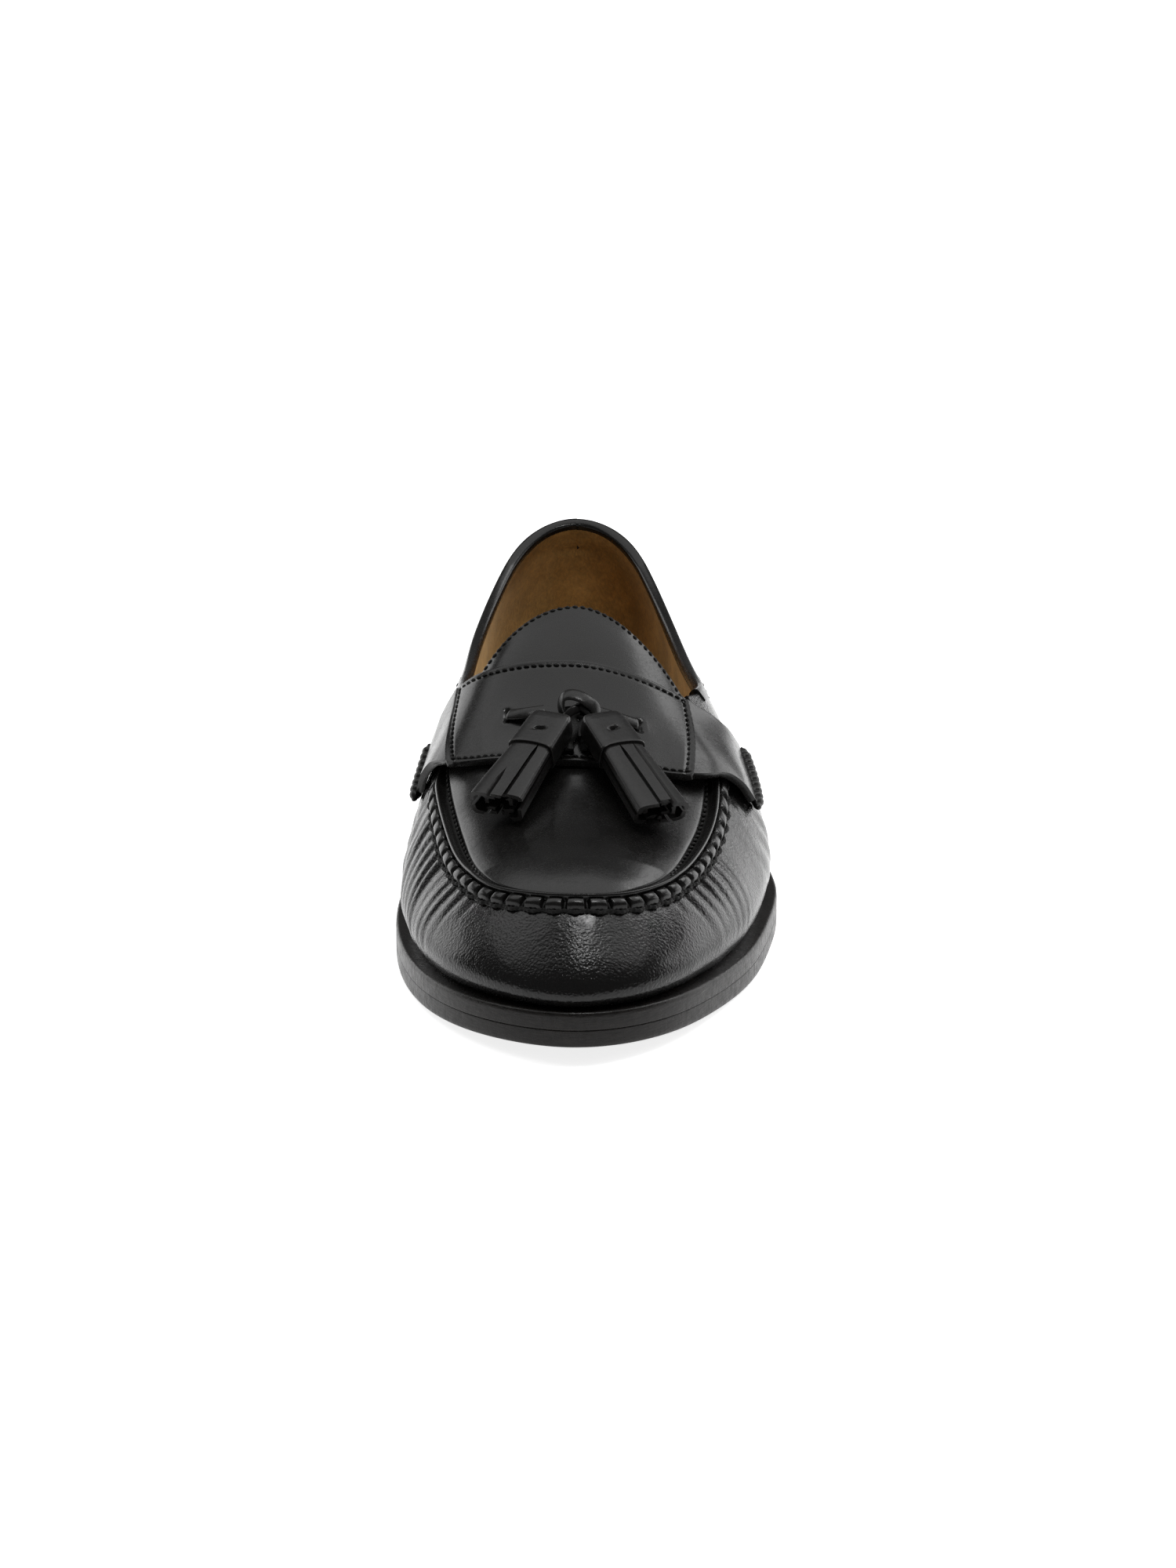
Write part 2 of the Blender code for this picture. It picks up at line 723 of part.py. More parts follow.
def build_side_rope(name, row, leather):
    """Whip-stitched roll along the end of a strap wing."""
    side = -1 if row.front_round < 0.0 else 1
    loops = []
    for i in range(ROPE_STEPS + 1):
        share = i / ROPE_STEPS
        along = mix(row.front_along, row.back_along, share)
        rise = 1.0 - abs(mix(row.front_round, row.back_round, share))
        turn = turn_of(along)
        rate = rise_rate(side, turn, rise)
        size = ROPE_RADIUS * mix(ROPE_END, 1.0, min(min(share, 1.0 - share) / ROPE_TAPER, 1.0))
        loop = []
        for k in range(ROUND_SIDES):
            angle = math.pi * 2.0 * k / ROUND_SIDES
            low = rise + (size * math.cos(angle) - ROPE_RADIUS - GAP) / rate
            loop.append(raised(side, turn, low, SKIN_GAP + ROPE_RADIUS + size * math.sin(angle)))
        loops.append(loop)
    return tube(name, loops, leather)


def build_lace(leather):
    """Flat lace over the strap, slot to slot, swelling to its knot in the middle."""
    rows = list(enumerate(LACE))
    along_at = spline(rows, lambda pair: pair[0], lambda pair: pair[1].along)
    round_at = spline(rows, lambda pair: pair[0], lambda pair: pair[1].round)
    knot_at = spline(rows, lambda pair: pair[0], lambda pair: pair[1].knot)
    loops = []
    for i in range(LACE_STEPS + 1):
        place = (len(LACE) - 1) * i / LACE_STEPS
        along = along_at(place)
        round_ = round_at(place)
        knot = min(max(knot_at(place), 0.0), 1.0)
        width = mix(LACE_WIDTH, KNOT_WIDTH, knot) / 2.0
        thickness = mix(LACE_THICKNESS, KNOT_THICKNESS, knot) / 2.0
        seat = strap_offset(along, round_) + SKIN_GAP + thickness
        loop = []
        for k in range(ROUND_SIDES):
            angle = math.pi * 2.0 * k / ROUND_SIDES
            shift = width * math.cos(angle) / LENGTH
            loop.append(on_section(along + shift, round_, seat + thickness * math.sin(angle)))
        loops.append(loop)
    return tube("tassel_lace", loops, leather)


def build_tassel(row, leather):
    """Rolled leather cap with its fringe of strips, one solid hanging from the knot."""
    seat = SKIN_GAP + STRAP_WALL + GAP + TASSEL_THICKNESS / 2.0
    top = on_section(row.top_along, row.top_round, seat)
    tip = on_section(row.tip_along, row.tip_round, GAP + TASSEL_THICKNESS * TIP_SEAT)
    axis = tip - top
    length = float(np.linalg.norm(axis))
    axis /= length
    side = -1 if row.tip_round < 0.0 else 1
    middle = turn_of((row.top_along + row.tip_along) / 2.0)
    normal = skin_normal(side, middle, 1.0 - abs(row.tip_round) / 2.0)
    across = np.cross(axis, normal)
    across /= np.linalg.norm(across)
    normal = np.cross(across, axis)
    fringe = length - TASSEL_CAP_LENGTH
    rings = [(place.along * TASSEL_CAP_LENGTH, place.size, 0.0) for place in CAP]
    for i in range(1, TASSEL_RINGS + 1):
        share = i / TASSEL_RINGS
        size = mix(FRINGE_START, TASSEL_FLARE, share)
        rings.append((TASSEL_CAP_LENGTH + fringe * share, size, STRIP_NOTCH * min(share / NOTCH_FADE, 1.0)))
    loops = []
    for distance, size, notch in rings:
        loop = []
        for k in range(4 * TASSEL_STRIPS):
            angle = math.pi * 2.0 * k / (4 * TASSEL_STRIPS)
            reach = size * (1.0 - (notch if k % 4 == 0 else 0.0))
            stagger = STRIP_STAGGER * math.cos(STRIP_TURN * (k // 4)) * notch / STRIP_NOTCH
            flat = min(size, 1.0)
            point = top + axis * (distance + stagger)
            point = point + across * (reach * math.cos(angle) * TASSEL_WIDTH / 2.0)
            point = point + normal * (flat * reach / size * math.sin(angle) * TASSEL_THICKNESS / 2.0)
            loop.append(point)
        loops.append(loop)
    return tube(row.name, loops, leather)


def clear():
    for made in list(bpy.data.objects):
        bpy.data.objects.remove(made, do_unlink=True)


def main():
    clear()
    leather = material("black_leather", (0.012, 0.011, 0.011), 0.28)
    sole_leather = material("sole_leather", (0.035, 0.026, 0.022), 0.42)
    rubber = material("heel_rubber", (0.02, 0.02, 0.02), 0.7)
    insole_leather = material("tan_lining", (0.24, 0.13, 0.05), 0.85)
    build_sole(sole_leather, rubber, insole_leather)
    build_upper(leather)
    build_binding(leather)
    build_apron(leather)
    build_seam(leather)
    build_strap(leather)
    build_side_rope("side_rope_medial", STRAP[0], leather)
    build_side_rope("side_rope_lateral", STRAP[-1], leather)
    build_lace(leather)
    for row in TASSELS:
        build_tassel(row, leather)


main()
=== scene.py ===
import math

import bmesh
import bpy
import numpy as np
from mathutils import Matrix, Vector


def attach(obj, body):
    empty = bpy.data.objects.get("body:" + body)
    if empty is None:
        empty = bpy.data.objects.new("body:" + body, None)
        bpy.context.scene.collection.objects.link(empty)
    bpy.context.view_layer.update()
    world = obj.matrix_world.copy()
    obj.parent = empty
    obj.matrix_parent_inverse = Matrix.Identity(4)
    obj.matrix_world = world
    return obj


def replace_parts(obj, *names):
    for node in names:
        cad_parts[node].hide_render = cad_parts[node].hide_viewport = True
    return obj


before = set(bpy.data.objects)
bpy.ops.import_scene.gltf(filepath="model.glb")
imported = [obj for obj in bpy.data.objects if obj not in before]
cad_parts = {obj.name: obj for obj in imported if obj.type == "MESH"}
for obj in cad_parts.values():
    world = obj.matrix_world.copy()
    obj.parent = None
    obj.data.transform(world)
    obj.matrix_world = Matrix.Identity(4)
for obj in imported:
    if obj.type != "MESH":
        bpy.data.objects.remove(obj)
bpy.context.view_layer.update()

# Sizes of the model in metres, the same as the solids have
LENGTH = 0.295
BALL_WIDTH = 0.106
INSTEP_HEIGHT = 0.082
COLLAR_HEIGHT = 0.072
TOE_SPRING = 0.0045
OUTSOLE_THICKNESS = 0.0048
MIDSOLE_THICKNESS = 0.0044
HEEL_LIFT_THICKNESS = 0.005
HEEL_STACK_HEIGHT = 0.0093
HEEL_TAPER = 0.0016
HEEL_BREAST_HOLLOW = 0.004
EDGE_BREAK = 0.0006
INSOLE_THICKNESS = 0.003
GAP = 0.0003
SKIN_GAP = 0.0005
UPPER_WALL = 0.002
STRAP_WALL = 0.0022
STRAP_LIFT = 0.0026
TOE_INSET = 0.0048
HEEL_INSET = 0.0032
TOE_BULGE = 0.0040
HEEL_BULGE = 0.0022
SEAM_WIDTH = 0.0052
ROPE_RADIUS = 0.0019
BINDING_HEIGHT = 0.0045
STITCH_HEIGHT = 0.0006

TOE_CENTRE = 0.153
HEEL_CENTRE = 0.885
TREAD_FRONT = 0.27
TREAD_BACK = 0.40
HEEL_BREAST = 0.735
SEAT_FRONT = 0.76
THROAT = 0.462
BINDING_START = 0.4965
QUARTER_SEAM = 0.600
FRONT_PITCH = 0.0049
SIDE_PITCH = 0.0072

# Outline of the sole: share of the length, then of the ball width, medial and lateral
SOLE_OUTLINE = [
    (0.000, -0.030, -0.030), (0.015, -0.162, 0.100), (0.060, -0.302, 0.228), (0.120, -0.402, 0.325),
    (0.200, -0.470, 0.417), (0.300, -0.500, 0.478), (0.380, -0.490, 0.500), (0.480, -0.452, 0.460),
    (0.580, -0.412, 0.384), (0.700, -0.374, 0.314), (0.820, -0.344, 0.276), (0.910, -0.300, 0.234),
    (0.970, -0.206, 0.140), (1.000, -0.033, -0.033),
]
APRON_OUTLINE = [
    (0.086, -0.031, -0.031), (0.096, -0.128, 0.070), (0.120, -0.215, 0.143), (0.150, -0.268, 0.200),
    (0.200, -0.315, 0.254), (0.270, -0.350, 0.300), (0.345, -0.376, 0.323), (0.400, -0.374, 0.312),
    (0.440, -0.334, 0.272), (0.466, -0.277, 0.220), (0.485, -0.215, 0.158), (0.502, -0.133, 0.074),
    (0.510, -0.033, -0.033),
]
# Ridge: along, height, across, fullness of the section on the medial and lateral side
RIDGE = [
    (0.00, 0.420, -0.030, 2.30, 2.30), (0.10, 0.490, -0.030, 2.45, 2.40), (0.20, 0.526, -0.034, 2.90, 2.60),
    (0.30, 0.588, -0.042, 3.30, 2.60), (0.36, 0.674, -0.046, 3.45, 2.42), (0.44, 0.838, -0.046, 3.40, 2.18),
    (0.52, 1.000, -0.040, 2.75, 1.98), (0.60, 1.115, -0.036, 1.68, 1.52), (0.72, 1.190, -0.033, 1.36, 1.30),
    (0.86, 1.130, -0.033, 1.37, 1.25), (1.00, 1.070, -0.033, 1.90, 1.80),
]
# Strap edges: front along and round, back along and round, from the medial wing to the lateral one
STRAP = [
    (0.412, -0.70, 0.490, -0.69), (0.398, -0.61, 0.486, -0.60), (0.380, -0.50, 0.475, -0.51),
    (0.353, -0.37, 0.462, -0.40), (0.333, -0.19, 0.445, -0.20), (0.322, 0.00, 0.441, 0.00),
    (0.319, 0.20, 0.436, 0.18), (0.326, 0.34, 0.437, 0.33), (0.343, 0.44, 0.441, 0.42),
    (0.361, 0.51, 0.450, 0.50), (0.372, 0.59, 0.465, 0.60), (0.380, 0.67, 0.484, 0.69),
]
COLLAR = [
    (0.44, 0.850), (0.52, 0.785), (0.62, 0.735), (0.72, 0.735), (0.82, 0.800), (0.92, 0.925), (1.00, 1.000),
]


# The surface of the last, over arrays of points
def spline(xs, ys):
    """Natural cubic curve through points, over arrays."""
    xs = np.array(xs, float)
    ys = np.array(ys, float)
    count = len(xs)
    step = np.diff(xs)
    slope = np.diff(ys) / step
    system = np.eye(count)
    right = np.zeros(count)
    for i in range(1, count - 1):
        system[i, i - 1:i + 2] = (step[i - 1], 2.0 * (step[i - 1] + step[i]), step[i])
        right[i] = 6.0 * (slope[i] - slope[i - 1])
    bend = np.linalg.solve(system, right)

    def curve(x):
        x = np.clip(np.asarray(x, float), xs[0], xs[-1])
        i = np.clip(np.searchsorted(xs, x, side="right") - 1, 0, count - 2)
        a = (xs[i + 1] - x) / step[i]
        b = (x - xs[i]) / step[i]
        cubic = (a ** 3 - a) * bend[i] + (b ** 3 - b) * bend[i + 1]
        return a * ys[i] + b * ys[i + 1] + cubic * step[i] ** 2 / 6.0

    return curve


def turn_of(along):
    return np.arccos(np.clip(1.0 - 2.0 * np.asarray(along, float), -1.0, 1.0))


def along_of(turn):
    return (1.0 - np.cos(turn)) / 2.0


def y_of(along):
    return (along - 0.5) * LENGTH


def share_of(y):
    return y / LENGTH + 0.5


def smooth_step(low, high, value):
    share = np.clip((value - low) / (high - low), 0.0, 1.0)
    return share * share * (3.0 - 2.0 * share)


def mix(first, second, share):
    return first + (second - first) * share


def columns(table, turned=None):
    """One curve over the first column of a table for each other column."""
    keys = [row[0] for row in table]
    if turned:
        keys = [turned(key) for key in keys]
    return [spline(keys, [row[i] for row in table]) for i in range(1, len(table[0]))]


APRON_FRONT = APRON_OUTLINE[0][0]
APRON_SPAN = APRON_OUTLINE[-1][0] - APRON_FRONT


def apron_turn(along):
    return turn_of((along - APRON_FRONT) / APRON_SPAN)


outline_medial, outline_lateral = columns(SOLE_OUTLINE, turn_of)
apron_medial, apron_lateral = columns(APRON_OUTLINE, apron_turn)
ridge_height, ridge_across, full_medial, full_lateral = columns(RIDGE)
collar_height, = columns(COLLAR)
strap_curves = [spline(range(len(STRAP)), [row[i] for row in STRAP]) for i in range(4)]


def sole_edge(side, turn, inset):
    """Point of the sole outline in plan, moved in by inset. side is -1 medial, 1 lateral."""
    step = 0.002
    low = np.maximum(turn - step, 0.0)
    high = np.minimum(turn + step, math.pi)

    def across_at(t):
        return np.where(side < 0, outline_medial(t), outline_lateral(t)) * BALL_WIDTH

    across = across_at(high) - across_at(low)
    forward = y_of(along_of(high)) - y_of(along_of(low))
    forward = np.where((turn <= 1e-9) | (turn >= math.pi - 1e-9), 0.0, forward)
    size = np.hypot(across, forward)
    x = across_at(turn) - inset * side * forward / size
    y = y_of(along_of(turn)) + inset * side * across / size
    return x, y


def sole_bottom(y):
    along = share_of(y)
    spring = np.maximum(TREAD_FRONT - along, 0.0) / TREAD_FRONT
    block = HEEL_LIFT_THICKNESS + GAP + HEEL_STACK_HEIGHT + GAP
    return TOE_SPRING * spring ** 2 + block * smooth_step(TREAD_BACK, SEAT_FRONT, along)


def feather_height(y):
    return sole_bottom(y) + OUTSOLE_THICKNESS + GAP + MIDSOLE_THICKNESS + GAP


def skin(side, turn, rise):
    """Outside of the last. rise is 0 at the feather line and 1 at the ridge."""
    side, turn, rise = np.broadcast_arrays(*[np.asarray(value, float) for value in (side, turn, rise)])
    heel = smooth_step(0.45, 0.8, along_of(turn))
    foot_x, foot_y = sole_edge(side, turn, mix(TOE_INSET, HEEL_INSET, heel))
    centre_along = np.clip(along_of(turn), TOE_CENTRE, HEEL_CENTRE)
    centre_x = ridge_across(centre_along) * BALL_WIDTH
    centre_y = y_of(centre_along)
    angle = rise * math.pi / 2.0
    fullness = np.where(side < 0, full_medial(along_of(turn)), full_lateral(along_of(turn)))
    reach = np.maximum(np.cos(angle), 0.0) ** (2.0 / fullness)
    lift = np.sin(angle)
    out_x, out_y = foot_x - centre_x, foot_y - centre_y
    span = np.hypot(out_x, out_y)
    part = np.minimum(lift / 0.8, 1.0)
    bulge = mix(TOE_BULGE, HEEL_BULGE, heel) * 6.75 * part * (1.0 - part) ** 2
    x = centre_x + out_x / span * (span * reach + bulge)
    y = centre_y + out_y / span * (span * reach + bulge)
    low = feather_height(foot_y)
    top = ridge_height(share_of(y)) * INSTEP_HEIGHT
    return np.stack((x, y, low + (top - low) * lift), axis=-1)


def unit(vectors):
    return vectors / np.maximum(np.linalg.norm(vectors, axis=-1, keepdims=True), 1e-12)


def skin_normal(side, turn, rise):
    side, turn, rise = np.broadcast_arrays(*[np.asarray(value, float) for value in (side, turn, rise)])
    step = 0.004
    up = skin(side, turn, np.minimum(rise + step, 1.0)) - skin(side, turn, np.maximum(rise - step, 0.0))
    low = np.maximum(turn - step, 0.0)
    high = np.minimum(turn + step, math.pi)
    along = skin(side, high, rise) - skin(side, low, rise)
    level = np.stack((side, side * 0.0, side * 0.0), axis=-1)
    along = np.where((turn < step)[..., None], level, along)
    along = np.where((turn > math.pi - step)[..., None], -level, along)
    normal = unit(np.cross(along, up) * side[..., None])
    centre = np.clip(along_of(turn), TOE_CENTRE, HEEL_CENTRE)
    slope = (ridge_height(centre + 0.01) - ridge_height(centre - 0.01)) * INSTEP_HEIGHT / (0.02 * LENGTH)
    ridge = unit(np.stack((slope * 0.0, -slope, slope * 0.0 + 1.0), axis=-1))
    return np.where((rise > 1.0 - step)[..., None], ridge, normal)


def raised(side, turn, rise, offset):
    """Point at a distance outside the skin."""
    offset = np.asarray(offset, float)
    return skin(side, turn, rise) + offset[..., None] * skin_normal(side, turn, rise)


def on_section(along, round_, offset):
    """Point over the skin at a share of the length and a place round the section."""
    return raised(np.where(np.asarray(round_) < 0.0, -1.0, 1.0), turn_of(along), 1.0 - np.abs(round_), offset)


def section_normal(along, round_):
    """Direction out of the skin at a share of the length and a place round the section."""
    return skin_normal(np.where(np.asarray(round_) < 0.0, -1.0, 1.0), turn_of(along), 1.0 - np.abs(round_))


def rise_rate(side, turn, rise):
    """Metres travelled over the skin for one unit of rise."""
    step = 0.004
    travel = skin(side, turn, rise + step) - skin(side, turn, rise - step)
    return np.linalg.norm(travel, axis=-1) / (2.0 * step)


def halve(test, turn):
    """Rise at which a test turns true, for each turn."""
    low = np.zeros_like(turn)
    high = np.ones_like(turn)
    for _ in range(24):
        middle = (low + high) / 2.0
        over = test(middle)
        high = np.where(over, middle, high)
        low = np.where(over, low, middle)
    return (low + high) / 2.0


def apron_rise(side, turn):
    """Rise of the edge of the apron and tongue."""
    def inside(rise):
        point = skin(side, turn, rise)
        along = share_of(point[..., 1])
        share = (along - APRON_FRONT) / APRON_SPAN
        place = apron_turn(along)
        left = apron_medial(place) * BALL_WIDTH
        right = apron_lateral(place) * BALL_WIDTH
        return (share > 0.0) & (share < 1.0) & (point[..., 0] > left) & (point[..., 0] < right)
    return halve(inside, turn)


def collar_rise(side, turn):
    height = collar_height(along_of(turn)) * COLLAR_HEIGHT
    return halve(lambda rise: skin(side, turn, rise)[..., 2] >= height, turn)


def rim_rise(side, turn, tuck):
    """Rise of the upper's top edge: under the seam in front, under the binding behind."""
    edge = apron_rise(side, turn)
    front = edge - tuck / rise_rate(side, turn, edge)
    top = collar_rise(side, turn)
    back = top - (BINDING_HEIGHT * 0.4) / rise_rate(side, turn, top)
    return np.where(along_of(turn) < THROAT + 0.001, front, back)


def strap_offset(along, round_):
    """Height of the strap's outside over the skin: it bridges the raised seam."""
    away = np.minimum(np.abs(np.abs(round_) - 0.5) / 0.26, 1.0)
    bump = np.cos(away * math.pi / 2.0) ** 2
    return SKIN_GAP + STRAP_WALL + STRAP_LIFT * bump * (1.0 - smooth_step(0.36, 0.45, along))


def strap_place(place, share):
    """Along and round of a place across the strap's length and a share of its width."""
    front_along, front_round, back_along, back_round = [curve(place) for curve in strap_curves]
    return mix(front_along, back_along, share), mix(front_round, back_round, share)


def over_strap(along, round_, lift):
    """Point at a lift over the strap's outside."""
    return on_section(along, round_, strap_offset(along, round_) + lift)


def travelled(path):
    """Distance along a path at each of its points."""
    return np.concatenate(([0.0], np.cumsum(np.linalg.norm(np.diff(path, axis=0), axis=1))))


# Meshes
def grid_faces(rows, cols, close_rows=False, close_cols=False, start=0):
    """Quads of a grid of points, row by row."""
    i = np.arange(rows if close_rows else rows - 1)
    j = np.arange(cols if close_cols else cols - 1)
    i, j = np.meshgrid(i, j, indexing="ij")
    ni, nj = (i + 1) % rows, (j + 1) % cols
    faces = np.stack((i * cols + j, i * cols + nj, ni * cols + nj, ni * cols + j), axis=-1)
    return (faces.reshape(-1, 4) + start).tolist()


def link(name, data):
    made = bpy.data.objects.new(name, data)
    bpy.context.scene.collection.objects.link(made)
    return made


def make(name, parts, look, sharp=50.0):
    """One smooth-shaded object from (points, faces) parts, riding on the shoe."""
    points, faces = [], []
    for part_points, part_faces in parts:
        start = len(points)
        points.extend(np.asarray(part_points).reshape(-1, 3).tolist())
        faces.extend([[start + i for i in face] for face in part_faces])
    mesh = bpy.data.meshes.new(name)
    mesh.from_pydata(points, [], faces)
    builder = bmesh.new()
    builder.from_mesh(mesh)
    bmesh.ops.remove_doubles(builder, verts=builder.verts, dist=0.000004)
    bmesh.ops.recalc_face_normals(builder, faces=builder.faces)
    builder.to_mesh(mesh)
    builder.free()
    mesh.shade_smooth()
    mesh.set_sharp_from_angle(angle=math.radians(sharp))
    mesh.materials.append(look)
    made = link(name, mesh)
    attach(made, "root")
    return made


def ring(points):
    """Part for a tube closed round each row, with flat fans at both ends."""
    rows, cols = points.shape[:2]
    faces = grid_faces(rows, cols, close_cols=True)
    middle = [points[0].mean(axis=0), points[-1].mean(axis=0)]
    every = np.concatenate((points.reshape(-1, 3), middle))
    for j in range(cols):
        k = (j + 1) % cols
        faces.append([rows * cols, k, j])
        faces.append([rows * cols + 1, (rows - 1) * cols + j, (rows - 1) * cols + k])
    return every, faces


def band(points):
    """Part for a tube closed both ways."""
    rows, cols = points.shape[:2]
    return points, grid_faces(rows, cols, close_rows=True, close_cols=True)


def slab(rings):
    """Part for a solid through level loops that start at the toe, bottom first."""
    points = np.array(rings)
    rows, count = points.shape[:2]
    faces = grid_faces(rows, count, close_cols=True)
    for start in (0, (rows - 1) * count):
        for i in range(count // 2):
            corners = [i, i + 1, (count - i - 1) % count, (count - i) % count]
            corners = list(dict.fromkeys(corners))
            if len(corners) > 2:
                faces.append([start + corner for corner in corners])
    return points, faces


def sheet(name, points, look, wall, edge=0.0):
    """Leather sheet through a grid of outside points, faced away from the foot, with a wall
    inwards and rounded edges."""
    made = make(name, [(points, grid_faces(*points.shape[:2]))], look)
    middle = np.array((-0.003, 0.0, 0.016))
    total = 0.0
    for face in made.data.polygons:
        away = np.array(face.center) - middle
        away[1] = 0.0
        total += float(away @ np.array(face.normal)) * face.area
    if total < 0.0:
        made.data.flip_normals()
    solid = made.modifiers.new("wall", "SOLIDIFY")
    solid.thickness = wall
    solid.offset = -1.0
    if edge:
        soften = made.modifiers.new("edge", "BEVEL")
        soften.width = edge
        soften.segments = 2
        soften.limit_method = "ANGLE"
        soften.angle_limit = math.radians(55)
    return made


def sweep(path, normals, width, height, sides):
    """Rings round a path: elliptic sections, width along the surface, height off it."""
    tangent = unit(np.gradient(path, axis=0))
    across = unit(np.cross(tangent, normals))
    upward = unit(np.cross(across, tangent))
    angle = np.linspace(0.0, 2.0 * math.pi, sides, endpoint=False)[None, :, None]
    width = np.broadcast_to(np.asarray(width, float), len(path))[:, None, None]
    height = np.broadcast_to(np.asarray(height, float), len(path))[:, None, None]
    level = across[:, None] * np.cos(angle) * width / 2.0
    return path[:, None] + level + upward[:, None] * np.sin(angle) * height / 2.0


def capsules(centres, directions, normals, length, width, height):
    """Part of many small stitches: rounded rods lying on a surface."""
    around = 8
    steps = 7
    t = np.linspace(-1.0, 1.0, steps)
    swell = np.sqrt(np.maximum(1.0 - np.abs(t) ** 3.0, 0.02))
    angle = np.linspace(0.0, 2.0 * math.pi, around, endpoint=False)
    across = unit(np.cross(directions, normals))
    points, faces = [], []
    for n in range(len(centres)):
        sag = -(t ** 2) * height * 0.35
        rod = centres[n] + t[:, None] * directions[n] * length / 2.0 + sag[:, None] * normals[n]
        level = across[n] * (np.cos(angle)[None, :, None] * swell[:, None, None] * width / 2.0)
        upright = normals[n] * (np.sin(angle)[None, :, None] * swell[:, None, None] * height / 2.0)
        loop = rod[:, None] + level + upright
        base = len(points) * steps * around
        points.append(loop.reshape(-1, 3))
        faces.extend(grid_faces(steps, around, close_cols=True, start=base))
        faces.append([base + j for j in range(around)][::-1])
        faces.append([base + (steps - 1) * around + j for j in range(around)])
    return np.concatenate(points), faces


def even(path, normals, pitch):
    """Places at an even pitch along a path, with its direction and normal there."""
    length = travelled(path)
    count = max(int(length[-1] / pitch), 1)
    at = (np.arange(count) + 0.5) * length[-1] / count

    def along(values):
        return np.stack([np.interp(at, length, values[:, i]) for i in range(3)], axis=1)

    return along(path), unit(along(unit(np.gradient(path, axis=0)))), unit(along(normals))


def stitch_row(path, normals, pitch=0.0021, length=0.0017, width=0.00075, slant=0.15):
    """Part of one row of stitches, each a little across its seam."""
    centres, directions, ups = even(path, normals, pitch)
    directions = unit(directions + slant * np.cross(directions, ups))
    return capsules(centres, directions, ups, length, width, STITCH_HEIGHT)


def stitches(name, parts):
    """One object in the near-black thread material: rows of thread, and the lace tails, which also stand in
    as painted shade between the tassels.
    """
    made = make(name, parts, thread, sharp=80.0)


# Materials
class Nodes:
    """Short calls for a material's nodes, over the object's own coordinates in metres."""

    def __init__(self, name):
        self.material = bpy.data.materials.new(name)
        self.material.use_nodes = True
        self.tree = self.material.node_tree
        self.shader = self.tree.nodes["Principled BSDF"]
        self.place = self.tree.nodes.new("ShaderNodeTexCoord").outputs["Object"]

    def add(self, kind, inputs=None, **settings):
        node = self.tree.nodes.new(kind)
        for key, value in settings.items():
            setattr(node, key, value)
        for key, value in (inputs or {}).items():
            if isinstance(value, bpy.types.NodeSocket):
                self.tree.links.new(value, node.inputs[key])
            else:
                node.inputs[key].default_value = value
        return node

    def noise(self, scale, detail=3.0, roughness=0.55, stretch=None):
        place = self.place
        if stretch:
            place = self.add("ShaderNodeMapping", {"Vector": place, "Scale": stretch}).outputs[0]
        values = {"Vector": place, "Scale": scale, "Detail": detail, "Roughness": roughness}
        return self.add("ShaderNodeTexNoise", values).outputs[0]

    def cells(self, scale):
        values = {"Vector": self.place, "Scale": scale * 0.6, "Detail": 2.0}
        warp = self.add("ShaderNodeTexNoise", values).outputs[1]
        spread = self.add("ShaderNodeVectorMath", {0: warp, "Scale": 0.7 / scale}, operation="SCALE")
        values = {0: self.place, 1: spread.outputs[0]}
        place = self.add("ShaderNodeVectorMath", values, operation="ADD").outputs[0]
        values = {"Vector": place, "Scale": scale}
        return self.add("ShaderNodeTexVoronoi", values, feature="SMOOTH_F1").outputs[0]

    def ramp(self, value, low, high, first=0.0, last=1.0):
        values = {"Value": value, "From Min": low, "From Max": high, "To Min": first, "To Max": last}
        return self.add("ShaderNodeMapRange", values).outputs[0]

    def math(self, operation, first, second):
        return self.add("ShaderNodeMath", {0: first, 1: second}, operation=operation).outputs[0]

    def blend(self, share, first, last):
        node = self.add("ShaderNodeMix", data_type="RGBA")
        sockets = [s for s in node.inputs if s.enabled]
        for socket, value in zip(sockets, (share, (*first, 1.0), (*last, 1.0))):
            if isinstance(value, bpy.types.NodeSocket):
                self.tree.links.new(value, socket)
            else:
                socket.default_value = value
        return [s for s in node.outputs if s.enabled][0]

    def bump(self, height, strength, distance, before=None):
        node = self.add("ShaderNodeBump", {"Height": height, "Strength": strength, "Distance": distance})
        if before:
            self.tree.links.new(before, node.inputs["Normal"])
        return node.outputs[0]

    def wire(self, **sockets):
        for name, value in sockets.items():
            socket = self.shader.inputs[name.replace("_", " ")]
            if isinstance(value, bpy.types.NodeSocket):
                self.tree.links.new(value, socket)
            elif isinstance(value, tuple):
                socket.default_value = (*value, 1.0)
            else:
                socket.default_value = value


def calf(name, dark, pale, rough, grain, coat, swell):
    """Polished black leather: fine pores, soft mottling, paler worn edges."""
    n = Nodes(name)
    tone = n.noise(70.0, 4.0)
    edge = n.add("ShaderNodeNewGeometry").outputs["Pointiness"]
    worn = n.ramp(edge, 0.52, 0.62, 0.0, 0.6)
    share = n.math("ADD", n.ramp(tone, 0.35, 0.7, 0.0, 0.5), worn)
    pores = n.cells(1500.0)
    fine = n.noise(3800.0, 2.0)
    long_waves = n.noise(150.0, 3.0)
    lumps = n.bump(long_waves, swell, 0.0006)
    skin_bump = n.bump(pores, grain, 0.00022, lumps)
    last_bump = n.bump(fine, grain * 0.6, 0.00010, skin_bump)
    smear = n.math("MULTIPLY", n.noise(240.0, 5.0), pores)
    n.wire(
        Base_Color=n.blend(share, dark, pale),
        Roughness=n.ramp(smear, 0.1, 0.5, rough - 0.04, rough + 0.07),
        Normal=last_bump,
        Coat_Weight=coat,
        Coat_Roughness=0.13,
        Specular_IOR_Level=0.20,
    )
    return n.material


